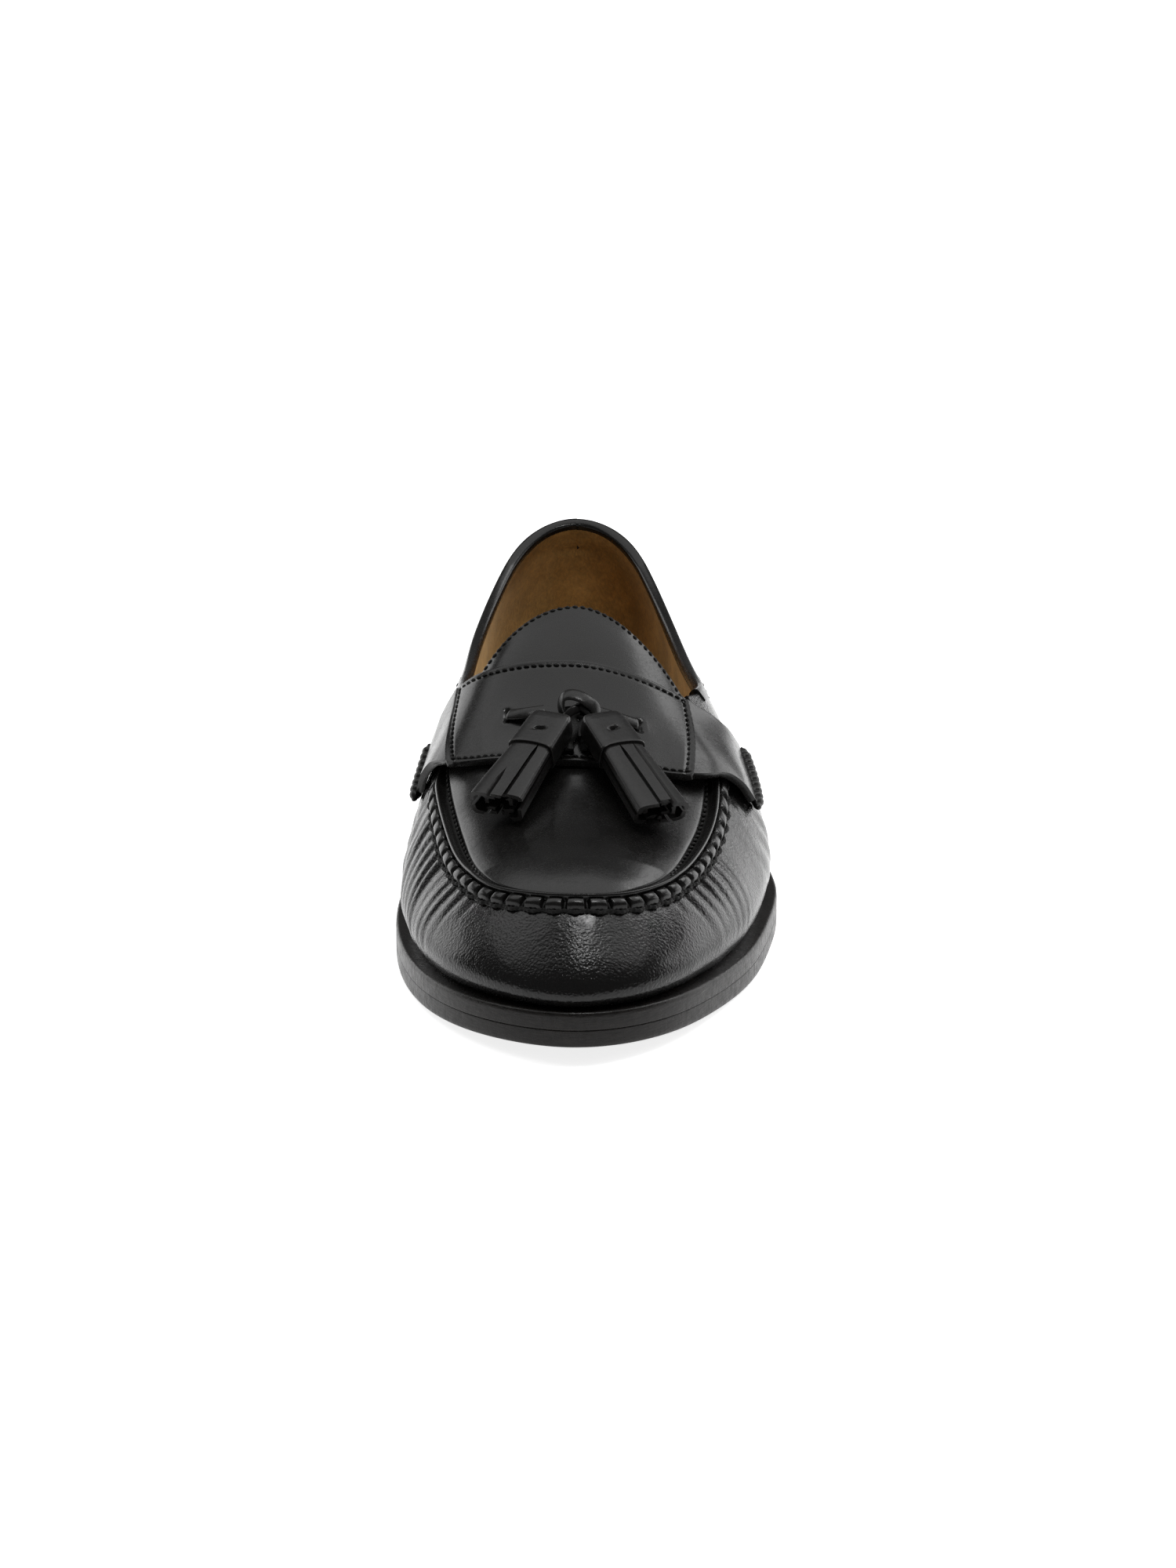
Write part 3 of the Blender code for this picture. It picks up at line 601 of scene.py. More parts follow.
def suede():
    """Tan lining with a short nap, darker where it is rubbed."""
    n = Nodes("tan_suede")
    patches = n.noise(55.0, 5.0, 0.65)
    nap = n.noise(1300.0, 4.0, 0.7, (1.0, 1.0, 0.6))
    share = n.math("ADD", n.ramp(patches, 0.35, 0.68, 0.0, 0.75), n.ramp(nap, 0.4, 0.7, -0.15, 0.3))
    n.wire(
        Base_Color=n.blend(share, (0.262, 0.146, 0.037), (0.575, 0.345, 0.110)),
        Roughness=n.ramp(nap, 0.3, 0.7, 0.82, 0.98),
        Normal=n.bump(nap, 0.6, 0.00025, n.bump(patches, 0.4, 0.0012)),
        Sheen_Weight=0.35,
        Sheen_Roughness=0.5,
        Sheen_Tint=(0.85, 0.62, 0.35),
    )
    return n.material


def sock_leather():
    n = Nodes("sock_leather")
    patches = n.noise(38.0, 4.0)
    pores = n.cells(900.0)
    n.wire(
        Base_Color=n.blend(n.ramp(patches, 0.3, 0.7), (0.23, 0.125, 0.045), (0.36, 0.21, 0.085)),
        Roughness=n.ramp(patches, 0.3, 0.7, 0.48, 0.62),
        Normal=n.bump(pores, 0.3, 0.00018, n.bump(patches, 0.3, 0.0009)),
    )
    return n.material


def edge_leather(name, dark, pale, rough, layers):
    """Waxed edge or tread of sole leather, with fibres lying level."""
    n = Nodes(name)
    fibres = n.noise(260.0, 5.0, 0.65, (1.0, 1.0, layers))
    scuffs = n.noise(900.0, 3.0, 0.6, (1.0, 1.0, 0.4))
    n.wire(
        Base_Color=n.blend(n.ramp(fibres, 0.35, 0.7), dark, pale),
        Roughness=n.ramp(scuffs, 0.35, 0.7, rough - 0.07, rough + 0.12),
        Normal=n.bump(fibres, 0.35, 0.00035, n.bump(scuffs, 0.25, 0.00010)),
        Specular_IOR_Level=0.20,
    )
    return n.material


def rubber_look():
    n = Nodes("black_rubber")
    specks = n.noise(1100.0, 3.0)
    scuffs = n.noise(120.0, 4.0)
    n.wire(
        Base_Color=n.blend(n.ramp(scuffs, 0.4, 0.75), (0.014, 0.014, 0.014), (0.035, 0.034, 0.033)),
        Roughness=n.ramp(specks, 0.3, 0.7, 0.62, 0.78),
        Normal=n.bump(specks, 0.35, 0.00018),
    )
    return n.material


def thread_look():
    n = Nodes("waxed_thread")
    twist = n.noise(2600.0, 2.0, 0.5)
    shade = n.noise(500.0, 3.0)
    n.wire(
        Base_Color=n.blend(n.ramp(shade, 0.35, 0.7), (0.003, 0.003, 0.003), (0.010, 0.0095, 0.009)),
        Roughness=n.ramp(twist, 0.3, 0.7, 0.55, 0.75),
        Specular_IOR_Level=0.2,
        Normal=n.bump(twist, 0.6, 0.00020),
    )
    return n.material


def floor_look():
    n = Nodes("pale_floor")
    n.wire(
        Base_Color=n.blend(n.ramp(n.noise(3.0, 2.0), 0.3, 0.7), (0.90, 0.90, 0.90), (0.93, 0.93, 0.93)),
        Roughness=0.9,
        Specular_IOR_Level=0.1,
        Emission_Color=(1.0, 1.0, 1.0),
        Emission_Strength=0.80,
    )
    return n.material


# Black leathers: dark and pale tone, roughness, grain, coat and the height of the long waves
CALF_TONES = ((0.0040, 0.0038, 0.0036), (0.009, 0.0086, 0.0082))
VAMP_TONES = ((0.0036, 0.0034, 0.0034), (0.008, 0.0077, 0.0074))
STRIP_TONES = ((0.0060, 0.0056, 0.0054), (0.012, 0.0115, 0.011))
black = calf("black_calf", *CALF_TONES, 0.26, 0.045, 0.07, 0.12)
vamp_black = calf("black_calf_vamp", *VAMP_TONES, 0.19, 0.60, 0.14, 0.20)
soft_black = calf("black_strip", *STRIP_TONES, 0.34, 0.12, 0.04, 0.10)
suede_tan = suede()
sock_tan = sock_leather()
sole_black = edge_leather("waxed_edge", (0.0035, 0.0030, 0.0027), (0.011, 0.009, 0.008), 0.32, 6.0)
rubber = rubber_look()
thread = thread_look()


# Sole and heel
def whole_ring(turns):
    """Sides and turns of a whole ring that starts at the toe and runs back medially."""
    side = np.concatenate((-np.ones(len(turns)), np.ones(len(turns) - 2)))
    return side, np.concatenate((turns, turns[1:-1][::-1]))


def sole_loop(inset, height_of):
    side, turn = whole_ring(np.linspace(0.0, math.pi, 151))
    x, y = sole_edge(side, turn, inset)
    return np.stack((x, y, height_of(y)), axis=-1)


def sole_layer(name, low_of, thickness, low_break, high_break):
    """One layer of the sole, its edges rounded by shares of the worn edge."""
    corner = [(1.5, 0.0), (0.65, 0.04), (0.15, 0.12), (0.0, 0.3)]
    rings = []
    rows = [(inset * low_break, share * low_break) for inset, share in corner]
    rows += [(inset * high_break, 1.0 - share * high_break) for inset, share in corner[::-1]]
    for inset, share in rows:
        rings.append(sole_loop(inset * EDGE_BREAK, lambda y, s=share: low_of(y) + thickness * s))
    made = make(name, [slab(rings)], sole_black, sharp=60.0)
    return made


def heel_loop(inset, height):
    first = float(turn_of(HEEL_BREAST))
    turns = np.linspace(first, math.pi, 60)
    medial = np.stack(sole_edge(-1.0, turns, inset), axis=-1)
    lateral = np.stack(sole_edge(1.0, turns[:-1][::-1], inset), axis=-1)
    middle_y = y_of(HEEL_BREAST) + HEEL_BREAST_HOLLOW
    breast = []
    shares = np.linspace(0.9, 0.1, 7)
    for corner in (medial[0], lateral[-1]):
        breast.append([(corner[0] * s, mix(corner[1], middle_y, 1.0 - s ** 2)) for s in shares])
    plan = np.concatenate(([(0.0, middle_y)], breast[0][::-1], medial, lateral, breast[1]))
    return np.column_stack((plan, np.full(len(plan), height)))


def heel_layer(name, low, high, look, grooves):
    """One block of the heel, with the lines between its lifts."""
    block = HEEL_LIFT_THICKNESS + GAP + HEEL_STACK_HEIGHT
    thickness = high - low
    steps = [(0.0, 2.0), (0.015, 0.9), (0.05, 0.2), (0.09, 0.0)]
    groove = [(-0.03, 0.0), (-0.012, 0.25), (0.0, 0.4), (0.012, 0.25), (0.03, 0.0)]
    for i in range(1, grooves + 1):
        steps += [(i / (grooves + 1) + away, notch) for away, notch in groove]
    steps += [(0.91, 0.0), (0.95, 0.2), (0.985, 0.9), (1.0, 2.0)]
    rings = []
    for share, notch in steps:
        height = low + thickness * share
        taper = HEEL_TAPER * (1.0 - height / block)
        rings.append(heel_loop(EDGE_BREAK + taper + notch * EDGE_BREAK * 0.6, height))
    made = make(name, [slab(rings)], look, sharp=60.0)
    return made


outsole = sole_layer("outsole_leather", sole_bottom, OUTSOLE_THICKNESS, 1.0, 0.22)
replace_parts(outsole, "outsole")
midsole_low = OUTSOLE_THICKNESS + GAP * 0.1
midsole = sole_layer(
    "midsole_leather", lambda y: sole_bottom(y) + midsole_low, MIDSOLE_THICKNESS + GAP * 1.7, 0.22, 1.0,
)
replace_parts(midsole, "midsole")
stack_low = HEEL_LIFT_THICKNESS + GAP * 0.4
stack_high = stack_low + HEEL_STACK_HEIGHT + GAP
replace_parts(heel_layer("heel_lifts", stack_low, stack_high, sole_black, 2), "heel_stack")
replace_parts(heel_layer("heel_toplift", 0.0, HEEL_LIFT_THICKNESS, rubber, 0), "heel_top_lift")

sock_inset = TOE_INSET + UPPER_WALL + GAP * 2
sock = []
for inset, lift in ((0.0, 0.0), (0.0, 0.8), (0.0005, 1.0), (0.004, 1.04), (0.012, 0.98), (0.020, 0.95)):
    sock.append(sole_loop(sock_inset + inset, lambda y, s=lift: feather_height(y) + INSOLE_THICKNESS * s))
sock_piece = make("insole_sock", [slab(sock)], sock_tan, sharp=60.0)
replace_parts(sock_piece, "insole")


# Seam line: distance along it from the toe, on each side
seam_turns = np.linspace(0.0, float(turn_of(THROAT)), 400)
seam_length = {}
for seam_side in (-1.0, 1.0):
    edge_rise = apron_rise(seam_side, seam_turns)
    seam_length[seam_side] = travelled(skin(seam_side, seam_turns, edge_rise))


def seam_at(side, turn):
    """Distance along the seam from the toe."""
    left = np.interp(turn, seam_turns, seam_length[-1.0])
    right = np.interp(turn, seam_turns, seam_length[1.0])
    return np.where(np.asarray(side) < 0, left, right)


pitch_places = np.linspace(-0.02, 0.30, 1601)
pitch_sizes = mix(FRONT_PITCH, SIDE_PITCH, smooth_step(0.018, 0.060, pitch_places))
pitch_phases = np.concatenate(([0.0], np.cumsum(np.diff(pitch_places) / pitch_sizes[1:])))
pitch_phases = pitch_phases - np.interp(0.0, pitch_places, pitch_phases)


def slant_at(distance):
    """How far a pinch leans forward for each metre outwards."""
    return 0.9 * smooth_step(0.012, 0.075, distance)


# Uneven pinches and folds, one for each pinch from the toe; the first is shared by both sides
PINCHES = 80
pinch_numbers = np.arange(PINCHES)
rng = np.random.default_rng(7)
pinch_jitter = rng.uniform(-0.06, 0.06, PINCHES)
fold_height = rng.uniform(0.15, 1.2, (2, PINCHES))
fold_length = rng.uniform(0.50, 1.3, (2, PINCHES))
fold_height[1, 0] = fold_height[0, 0]
fold_length[1, 0] = fold_length[0, 0]


def pinch_phase(side, turn, outward):
    """Number of pinches from the toe, whole at the middle of a pinch."""
    distance = seam_at(side, turn)
    phase = np.interp(distance + slant_at(distance) * outward, pitch_places, pitch_phases)
    shift = np.interp(phase, pinch_numbers, pinch_jitter)
    return phase + np.where(np.asarray(side) < 0, shift, -shift * 0.8) * np.minimum(phase, 1.0)


def trough(x, centre, width):
    return np.exp(-((x - centre) / width) ** 2)


def soft_waves(points, height):
    """Slow unevenness of lasted leather, over places in metres."""
    x, y, z = points[..., 0], points[..., 1], points[..., 2]
    return height * np.sin(y * 230.0 + x * 95.0) * np.sin(x * 150.0 - z * 130.0 + 1.3)


def folds(side, turn, down):
    """Height of the gathers in the vamp at a distance below the seam."""
    medial = np.asarray(side) < 0
    phase = pinch_phase(side, turn, SEAM_WIDTH + 0.20 * down + 38.0 * down ** 2)
    near = phase - np.round(phase)
    size, long = [
        np.where(medial, np.interp(phase, pinch_numbers, sizes[0]), np.interp(phase, pinch_numbers, sizes[1]))
        for sizes in (fold_height, fold_length)
    ]
    along = along_of(turn)
    back = smooth_step(0.09, 0.17, along)
    outer = 0.75 * (1.0 - 0.8 * smooth_step(0.19, 0.27, along))
    strength = mix(0.10, np.where(medial, 1.15, outer), back) * (1.0 - smooth_step(0.36, 0.44, along))
    reach = mix(0.0042, np.where(medial, 0.0210, 0.0150), back) * long
    fade = np.exp(-(np.maximum(down, 0.0) / reach) ** 1.8)
    valley = np.exp(-((0.5 - np.abs(near)) / 0.15) ** 2)
    second = trough(near, 0.10, 0.11) * trough(down, 0.007, 0.006)
    crown = np.cos(np.pi * near) ** 2
    return strength * size * fade * (0.00060 * crown - 0.00075 * valley - 0.00020 * second)


# Creases over the ball: share of the length, width as a share and depth in millimetres
FLEX_CREASES = ((0.405, 0.008, 0.45), (0.432, 0.006, 0.30), (0.372, 0.010, 0.25), (0.335, 0.008, 0.15))


def vamp_relief(side, turn, rise, down):
    """Folds at the seam, the edge of the vamp over the quarter, and soft flex creases."""
    along = along_of(turn)
    seam = turn_of(QUARTER_SEAM)
    ahead = (seam - turn) * 0.14
    step = 0.0007 * smooth_step(-0.0002, 0.0004, ahead) * np.exp(-np.maximum(ahead, 0.0) / 0.007)
    groove = -0.00025 * trough(ahead, 0.0021, 0.0006)
    lean = along + 0.10 * rise
    crease = np.zeros(rise.shape)
    for centre, width, depth in FLEX_CREASES:
        ridge = 0.5 * trough(lean, centre + 0.018, width * 1.3)
        crease -= 0.001 * depth * (trough(lean, centre, width) - ridge)
    crease *= trough(rise, 0.20, 0.16)
    back = np.abs(turn - math.pi) * 0.10
    heel = -0.00035 * trough(back, 0.0, 0.0004) * smooth_step(0.05, 0.12, rise)
    relief = folds(side, turn, down) + step + groove + crease + heel
    return relief + soft_waves(skin(side, turn, rise), 0.00012)


def uneven_turns():
    """Turns of the upper's columns: close over the gathers and the quarter seams."""
    seam = float(turn_of(QUARTER_SEAM))
    stretches = [
        (0.0, 1.50, 250), (1.52, seam - 0.05, 9), (seam - 0.04, seam + 0.02, 24),
        (seam + 0.04, math.pi - 0.03, 46), (math.pi - 0.02, math.pi, 7),
    ]
    return np.unique(np.concatenate([np.linspace(*stretch) for stretch in stretches]))


def build_upper():
    side, turn = whole_ring(uneven_turns())
    rim = rim_rise(side, turn, SEAM_WIDTH + 0.0002)
    rate = rise_rate(side, turn, rim)
    shares = 1.0 - (1.0 - np.linspace(0.0, 1.0, 56)) ** 1.15
    rise = rim * shares[:, None]
    down = (rim - rise) * rate
    outside = raised(side, turn, rise, vamp_relief(side, turn, rise, down))
    rows = [outside]
    top_normal = skin_normal(side, turn, rim)
    for lift, depth in ((0.00025, 0.0004), (0.00025, 0.0012)):
        rows.append((outside[-1] + top_normal * -depth + unit(outside[-1] - outside[-2]) * lift)[None])
    inner = np.array((1.0, 0.75, 0.5, 0.25, 0.0))[:, None]
    rows.append(raised(side, turn, rim * inner, np.full((5, len(turn)), -0.0016)))
    made = make("upper_leather", [band(np.concatenate(rows))], vamp_black, sharp=70.0)
    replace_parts(made, "upper")


def build_lining():
    side, turn = whole_ring(np.linspace(0.0, math.pi, 110))
    top = rim_rise(side, turn, SEAM_WIDTH)
    share = np.linspace(0.0, 1.0, 26)[:, None]
    rise = top * share
    seat = np.full(rise.shape, -0.0017)
    soft = 0.00012 * np.sin(turn * 9.0 + 2.0 * share) * np.sin(share * 7.0 + turn * 4.0)
    cut = 0.00055 * trough(skin(side, turn, rise)[..., 2], 0.0625, 0.0008) * smooth_step(2.5, 2.8, turn)
    outside = raised(side, turn, rise, seat)
    inside = raised(side, turn, rise[::-1], seat - 0.0006 + (soft + cut)[::-1])
    made = make("quarter_lining", [band(np.concatenate((outside, inside)))], suede_tan, sharp=80.0)


def build_binding():
    first = float(turn_of(BINDING_START))
    turns = np.linspace(first, math.pi, 130)
    side = np.concatenate((-np.ones(130), np.ones(129)))
    turn = np.concatenate((turns, turns[:-1][::-1]))
    top = collar_rise(side, turn)
    rate = rise_rate(side, turn, top)
    inner_share = mix(1.0, 0.40, smooth_step(2.2, 2.85, turn))
    # Section in millimetres: drop below the top line and distance off the skin
    profile = [
        (4.7, 0.02), (4.5, 0.34), (3.4, 0.42), (1.6, 0.46), (0.6, 0.36), (0.12, -0.05), (0.0, -0.7),
        (0.0, -1.5), (0.25, -2.3), (0.9, -2.8), (2.4, -3.0), (4.8, -3.05), (5.5, -3.0), (5.7, -2.6),
        (5.4, -1.4),
    ]
    loops = []
    for drop, off in profile:
        down = drop * 0.001 * (inner_share if off < -1.0 and drop > 0.1 else 1.0)
        loops.append(raised(side, turn, top - down / rate, np.full(len(turn), off * 0.001)))
    loops = np.stack(loops, axis=1)
    made = make("topline_binding", [ring(loops)], black, sharp=75.0)
    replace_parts(made, "collar_binding")


def across_ridge(halves):
    """Rows from the medial edge over the ridge to the lateral edge."""
    return np.concatenate((halves[0], halves[1][:, :-1][:, ::-1]), axis=1)


def build_apron():
    throat = float(turn_of(THROAT))
    tip = float(turn_of(APRON_OUTLINE[-1][0]))
    tongue = mix(throat, tip, np.sin(np.linspace(0.04, math.pi / 2.0, 40)))
    turns = np.concatenate((np.linspace(0.0, throat, 190), tongue))
    share = np.linspace(0.0, 1.0, 44) ** 1.7
    halves = []
    for side in (-1.0, 1.0):
        edge = apron_rise(side, turns)[:, None]
        rise = mix(edge, 1.0, share[None, :])
        rate = rise_rate(side, turns, edge[:, 0])[:, None]
        inward = (rise - edge) * rate
        distance = seam_at(side, turns)[:, None]
        far = smooth_step(0.030, 0.060, distance)
        front = 1.0 - smooth_step(0.37, 0.42, along_of(turns))[:, None]
        depth = mix(0.00045, 0.00075, far) * front
        groove = -depth * np.exp(-((inward - mix(0.0007, 0.0014, far)) / mix(0.00045, 0.0008, far)) ** 2)
        waves = soft_waves(skin(side, turns[:, None], rise), 0.00011) * smooth_step(0.0, 0.008, inward)
        halves.append(raised(side, turns[:, None], rise, groove + waves))
    made = sheet("apron_leather", across_ridge(halves), black, 0.0016, 0.0005)
    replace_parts(made, "apron")


def build_apron_lining():
    turns = mix(0.0, float(turn_of(APRON_OUTLINE[-1][0])), np.sin(np.linspace(0.0, math.pi / 2.0, 90)))[:-1]
    halves = []
    for side in (-1.0, 1.0):
        edge = apron_rise(side, turns)
        rate = rise_rate(side, turns, edge)
        edge = np.minimum(edge + 0.0007 / rate, 0.99)
        rise = mix(edge[:, None], 1.0, np.linspace(0.0, 1.0, 20)[None, :])
        halves.append(raised(side, turns[:, None], rise, np.full(rise.shape, -0.0017)))
    made = sheet("tongue_lining", across_ridge(halves), suede_tan, 0.0006)


def both_sides(turns):
    """Side and turn along a path round the toe, from the medial end to the lateral end."""
    side = np.concatenate((-np.ones(len(turns)), np.ones(len(turns) - 1)))
    return side, np.concatenate((turns[::-1], turns[1:]))


def seam_fade(along):
    return 1.0 - smooth_step(0.35, 0.41, along)


def build_seam():
    side, turn = both_sides(np.linspace(0.0, float(turn_of(0.455)), 420))
    edge = apron_rise(side, turn)
    rate = rise_rate(side, turn, edge)
    fade = seam_fade(along_of(turn))
    out = np.array((
        -0.9, -0.5, -0.1, 0.15, 0.3, 0.5, 0.8, 1.1, 1.35, 1.5, 1.65, 1.85,
        2.05, 2.3, 2.7, 3.2, 3.7, 4.2, 4.6, 4.9, 5.2, 5.5, 5.8, 6.1,
    ))[None, :] * 0.001
    rise = edge[:, None] - out / rate[:, None]
    near = pinch_phase(side[:, None], turn[:, None], out)
    near = near - np.round(near)
    lip = 0.0021 * smooth_step(-0.0003, 0.0005, out) * (1.0 - smooth_step(0.0011, 0.0018, out))
    block = smooth_step(0.0014, 0.0021, out) * (1.0 - smooth_step(0.0042, 0.0058, out))
    pillow = (1.0 - smooth_step(0.33, 0.46, np.abs(near))) * (1.0 - 0.9 * near ** 2)
    crown = 0.0018 - 0.00035 * ((out - 0.0032) / 0.0015) ** 2
    height = (lip + block * (0.0003 + np.maximum(crown, 0.0004) * pillow)) * fade[:, None]
    sunk = mix(-0.0004, 0.00015, smooth_step(-0.0009, 0.0, out))
    height = height + sunk * (1.0 - smooth_step(0.0056, 0.0062, out))
    height = height - 0.0008 * smooth_step(0.0056, 0.0061, out)
    top = raised(side[:, None], turn[:, None], rise, height)
    under = raised(side[:, None], turn[:, None], rise[:, ::-1][:, ::6], np.full((len(turn), 4), -0.0014))
    made = make("moc_seam_pinches", [ring(np.concatenate((top, under), axis=1))], black, sharp=80.0)
    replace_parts(made, "moc_seam")


def seam_path(side, turn, outward, lift):
    """Points and normals over the skin at a distance out from the apron's edge."""
    edge = apron_rise(side, turn)
    rise = edge - outward / rise_rate(side, turn, edge)
    return raised(side, turn, rise, lift), skin_normal(side, turn, rise)


def build_seam_thread():
    side, turn = both_sides(np.linspace(0.0, float(turn_of(0.40)), 800))
    distance = seam_at(side, turn)
    wave = np.cos(2.0 * math.pi * pinch_phase(side, turn, 0.0053))
    lift = (0.00055 + 0.00018 * wave) * seam_fade(along_of(turn)) - 0.0001
    path, normals = seam_path(side, turn, 0.0054 + 0.00042 * wave, lift)
    girth = 0.00115 * (1.0 + 0.14 * np.sin(distance * 2.0 * math.pi / 0.0011))
    parts = [ring(sweep(path, normals, girth, girth * 0.95, 8))]
    centres, directions, ups = [], [], []
    for one_side in (-1.0, 1.0):
        turns = np.linspace(0.0, float(turn_of(0.385)), 1500)
        low_phase = pinch_phase(one_side, turns, 0.0021)
        high_phase = pinch_phase(one_side, turns, 0.0049)
        for k in range(int(low_phase[-1])):
            ends = []
            for phases, outward_at in ((low_phase, 0.0021), (high_phase, 0.0049)):
                place = np.array([np.interp(k + 0.5, phases, turns)])
                ends.append(seam_path(one_side, place, outward_at, np.array([0.00075])))
            centres.append((ends[0][0][0] + ends[1][0][0]) / 2.0)
            directions.append(unit(ends[1][0][0] - ends[0][0][0]))
            ups.append(unit(ends[0][1][0] + ends[1][1][0]))
    parts.append(capsules(np.array(centres), np.array(directions), np.array(ups), 0.0034, 0.0007, 0.0007))
    stitches("moc_seam_thread", parts)


def build_edge_stitches():
    """Stitches in the groove inside the apron's edge, along both sides."""
    parts = []
    for side in (-1.0, 1.0):
        turns = np.linspace(float(turn_of(0.155)), float(turn_of(0.40)), 300)
        path, normals = seam_path(side, turns, -0.0014, np.full(300, -0.00035))
        parts.append(stitch_row(path, normals, 0.0026, 0.0021, 0.0008, 0.25))
    stitches("apron_edge_stitches", parts)


# Strap, side rolls, lace and tassels
WHIP_PITCH = 0.0030
SLOTS = ((0.3835, -0.133), (0.3745, 0.186))
PANEL_LINES = ((2.90, 2.76), (7.10, 7.60))


def line_place(line, share):
    """Place across the strap of a stitched line, at a share of the strap's width."""
    front, back = PANEL_LINES[line]
    return mix(front, back, share)


def build_strap():
    last = len(STRAP) - 1.0
    place = np.linspace(0.0, last, 270)[:, None]
    share = np.linspace(0.0, 1.0, 72)[None, :]
    along, round_ = strap_place(place, share)
    ends = 1.0 - smooth_step(0.0, 1.1, place) + smooth_step(last - 1.1, last, place)
    lift = 0.00016 * np.sin(place * 1.9 + share * 3.0) - 0.0006 * ends
    for slot_along, slot_round in SLOTS:
        dx = (round_ - slot_round) * 0.075
        dy = (along - slot_along) * LENGTH
        lift -= 0.0013 * np.exp(-((dx / 0.0009) ** 4 + (dy / 0.0021) ** 4))
        lift += 0.0003 * np.exp(-((dx / 0.0022) ** 2 + (dy / 0.0032) ** 2))
    for line, sign in ((0, 1.0), (1, -1.0)):
        off = (place - line_place(line, share)) * 0.0105 * sign
        lift += 0.00045 * (1.0 - smooth_step(-0.0004, 0.0002, off)) * np.exp(np.minimum(off, 0.0) / 0.008)
        lift -= 0.00022 * trough(off, 0.0014, 0.0006)
    middle = smooth_step(3.0, 3.3, place) * (1.0 - smooth_step(6.9, 7.2, place))
    for edge in (0.045, 0.955):
        lift -= 0.00018 * trough(share, edge, 0.016) * middle
    made = sheet("saddle_strap", over_strap(along, round_, lift), black, STRAP_WALL, 0.0004)
    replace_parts(made, "strap")


def build_strap_stitches():
    parts = []

    def row(place, share):
        along, round_ = strap_place(place, share)
        parts.append(stitch_row(over_strap(along, round_, 0.00012), section_normal(along, round_)))

    across = np.linspace(2.95, 7.15, 300)
    row(across, np.full(300, 0.045))
    row(np.linspace(2.78, 7.55, 300), np.full(300, 0.955))
    share = np.linspace(0.05, 0.95, 200)
    row(line_place(0, share) + 0.12, share)
    row(line_place(1, share) - 0.12, share)
    stitches("strap_stitches", parts)


def build_side_roll(name, row, node):
    """Rolled edge with its whip stitches, along the end of a wing."""
    side = -1.0 if row[1] < 0.0 else 1.0
    share = np.linspace(0.0, 1.0, 200)
    along = mix(row[0] - 0.004, row[2] + 0.002, share)
    rise = 1.0 - np.abs(mix(row[1], row[3], share))
    turn = turn_of(along)
    rate = rise_rate(side, turn, rise)
    rise = rise - (ROPE_RADIUS * 1.05) / rate
    path = raised(side, turn, rise, np.full(200, SKIN_GAP + ROPE_RADIUS * 0.80))
    normals = skin_normal(side, turn, rise)
    ends = np.minimum(1.0, np.minimum(share, 1.0 - share) * 7.0) ** 0.5
    loops = sweep(path, normals, 2.05 * ROPE_RADIUS * ends, 1.80 * ROPE_RADIUS * ends, 20)
    angle = np.linspace(0.0, 2.0 * math.pi, 20, endpoint=False)[None, :]
    wrap = np.abs(np.sin(travelled(path)[:, None] * math.pi / WHIP_PITCH + side * angle * 0.5))
    loops = path[:, None] + (loops - path[:, None]) * (0.66 + 0.42 * wrap ** 0.6)[..., None]
    made = make(name, [ring(loops)], soft_black, sharp=80.0)
    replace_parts(made, node)


# Knot: its middle, and bands as points to the right, down the instep and off it, in millimetres,
# with each band's width and height
KNOT = (0.3805, 0.014)
KNOT_BANDS = [
    ([(-3.0, 3.2, 0.4), (-4.3, 1.6, 1.6), (-4.6, -0.4, 3.2), (-3.8, -1.4, 4.6), (-1.8, -1.4, 5.3),
      (0.8, -0.6, 5.2), (3.2, 0.6, 4.3), (5.0, 1.8, 2.8), (5.6, 3.2, 1.2)], 4.4, 1.2),
    ([(-0.4, 0.8, 2.6), (1.2, 1.6, 3.3), (2.8, 2.8, 2.9), (3.9, 4.0, 1.9), (4.4, 4.8, 0.8)], 2.6, 1.2),
    ([(1.0, 1.4, 2.6), (-0.8, 2.4, 3.1), (-2.6, 3.6, 2.3), (-3.6, 4.6, 0.9)], 2.8, 1.2),
    ([(-4.0, 1.6, 0.8), (-1.6, 1.6, 1.3), (1.6, 1.8, 1.3), (4.4, 2.2, 0.8)], 4.0, 2.2),
]
# The tails hang from the knot down into the gap between the tassel caps, in the near-black thread material:
# partly lace ends, partly painted shade in that gap.
LACE_TAILS_AND_PAINTED_SHADE = [
    ([(-0.2, 3.4, 1.6), (-0.8, 6.0, 2.0), (-1.4, 9.6, 1.4), (-2.2, 13.0, 1.2), (-2.6, 15.6, 1.0)], 3.2, 1.0),
    ([(0.4, 3.4, 1.4), (1.0, 6.0, 1.8), (1.6, 9.6, 1.2), (2.0, 13.0, 1.1), (2.4, 15.2, 0.9)], 3.2, 1.0),
]


def knot_band(points, width, height):
    """Part of one flat band of the knot or of a tail that hangs from it."""
    knot = over_strap(*KNOT, 0.0010)
    up = section_normal(*KNOT)
    ahead = unit(np.cross(up, np.array((1.0, 0.0, 0.0))))
    right = unit(np.cross(ahead, up))
    points = np.array(points) * 0.001
    at = np.linspace(0.0, len(points) - 1.0, 60)
    x, down, off = [spline(range(len(points)), points[:, i])(at) for i in range(3)]
    path = knot + x[:, None] * right - down[:, None] * ahead + off[:, None] * up
    middle = knot - 0.0008 * ahead + 0.0010 * up
    outward = unit(unit(path - middle) - 0.34 * ahead)
    return ring(sweep(path, outward, width * 0.001, height * 0.001, 14))


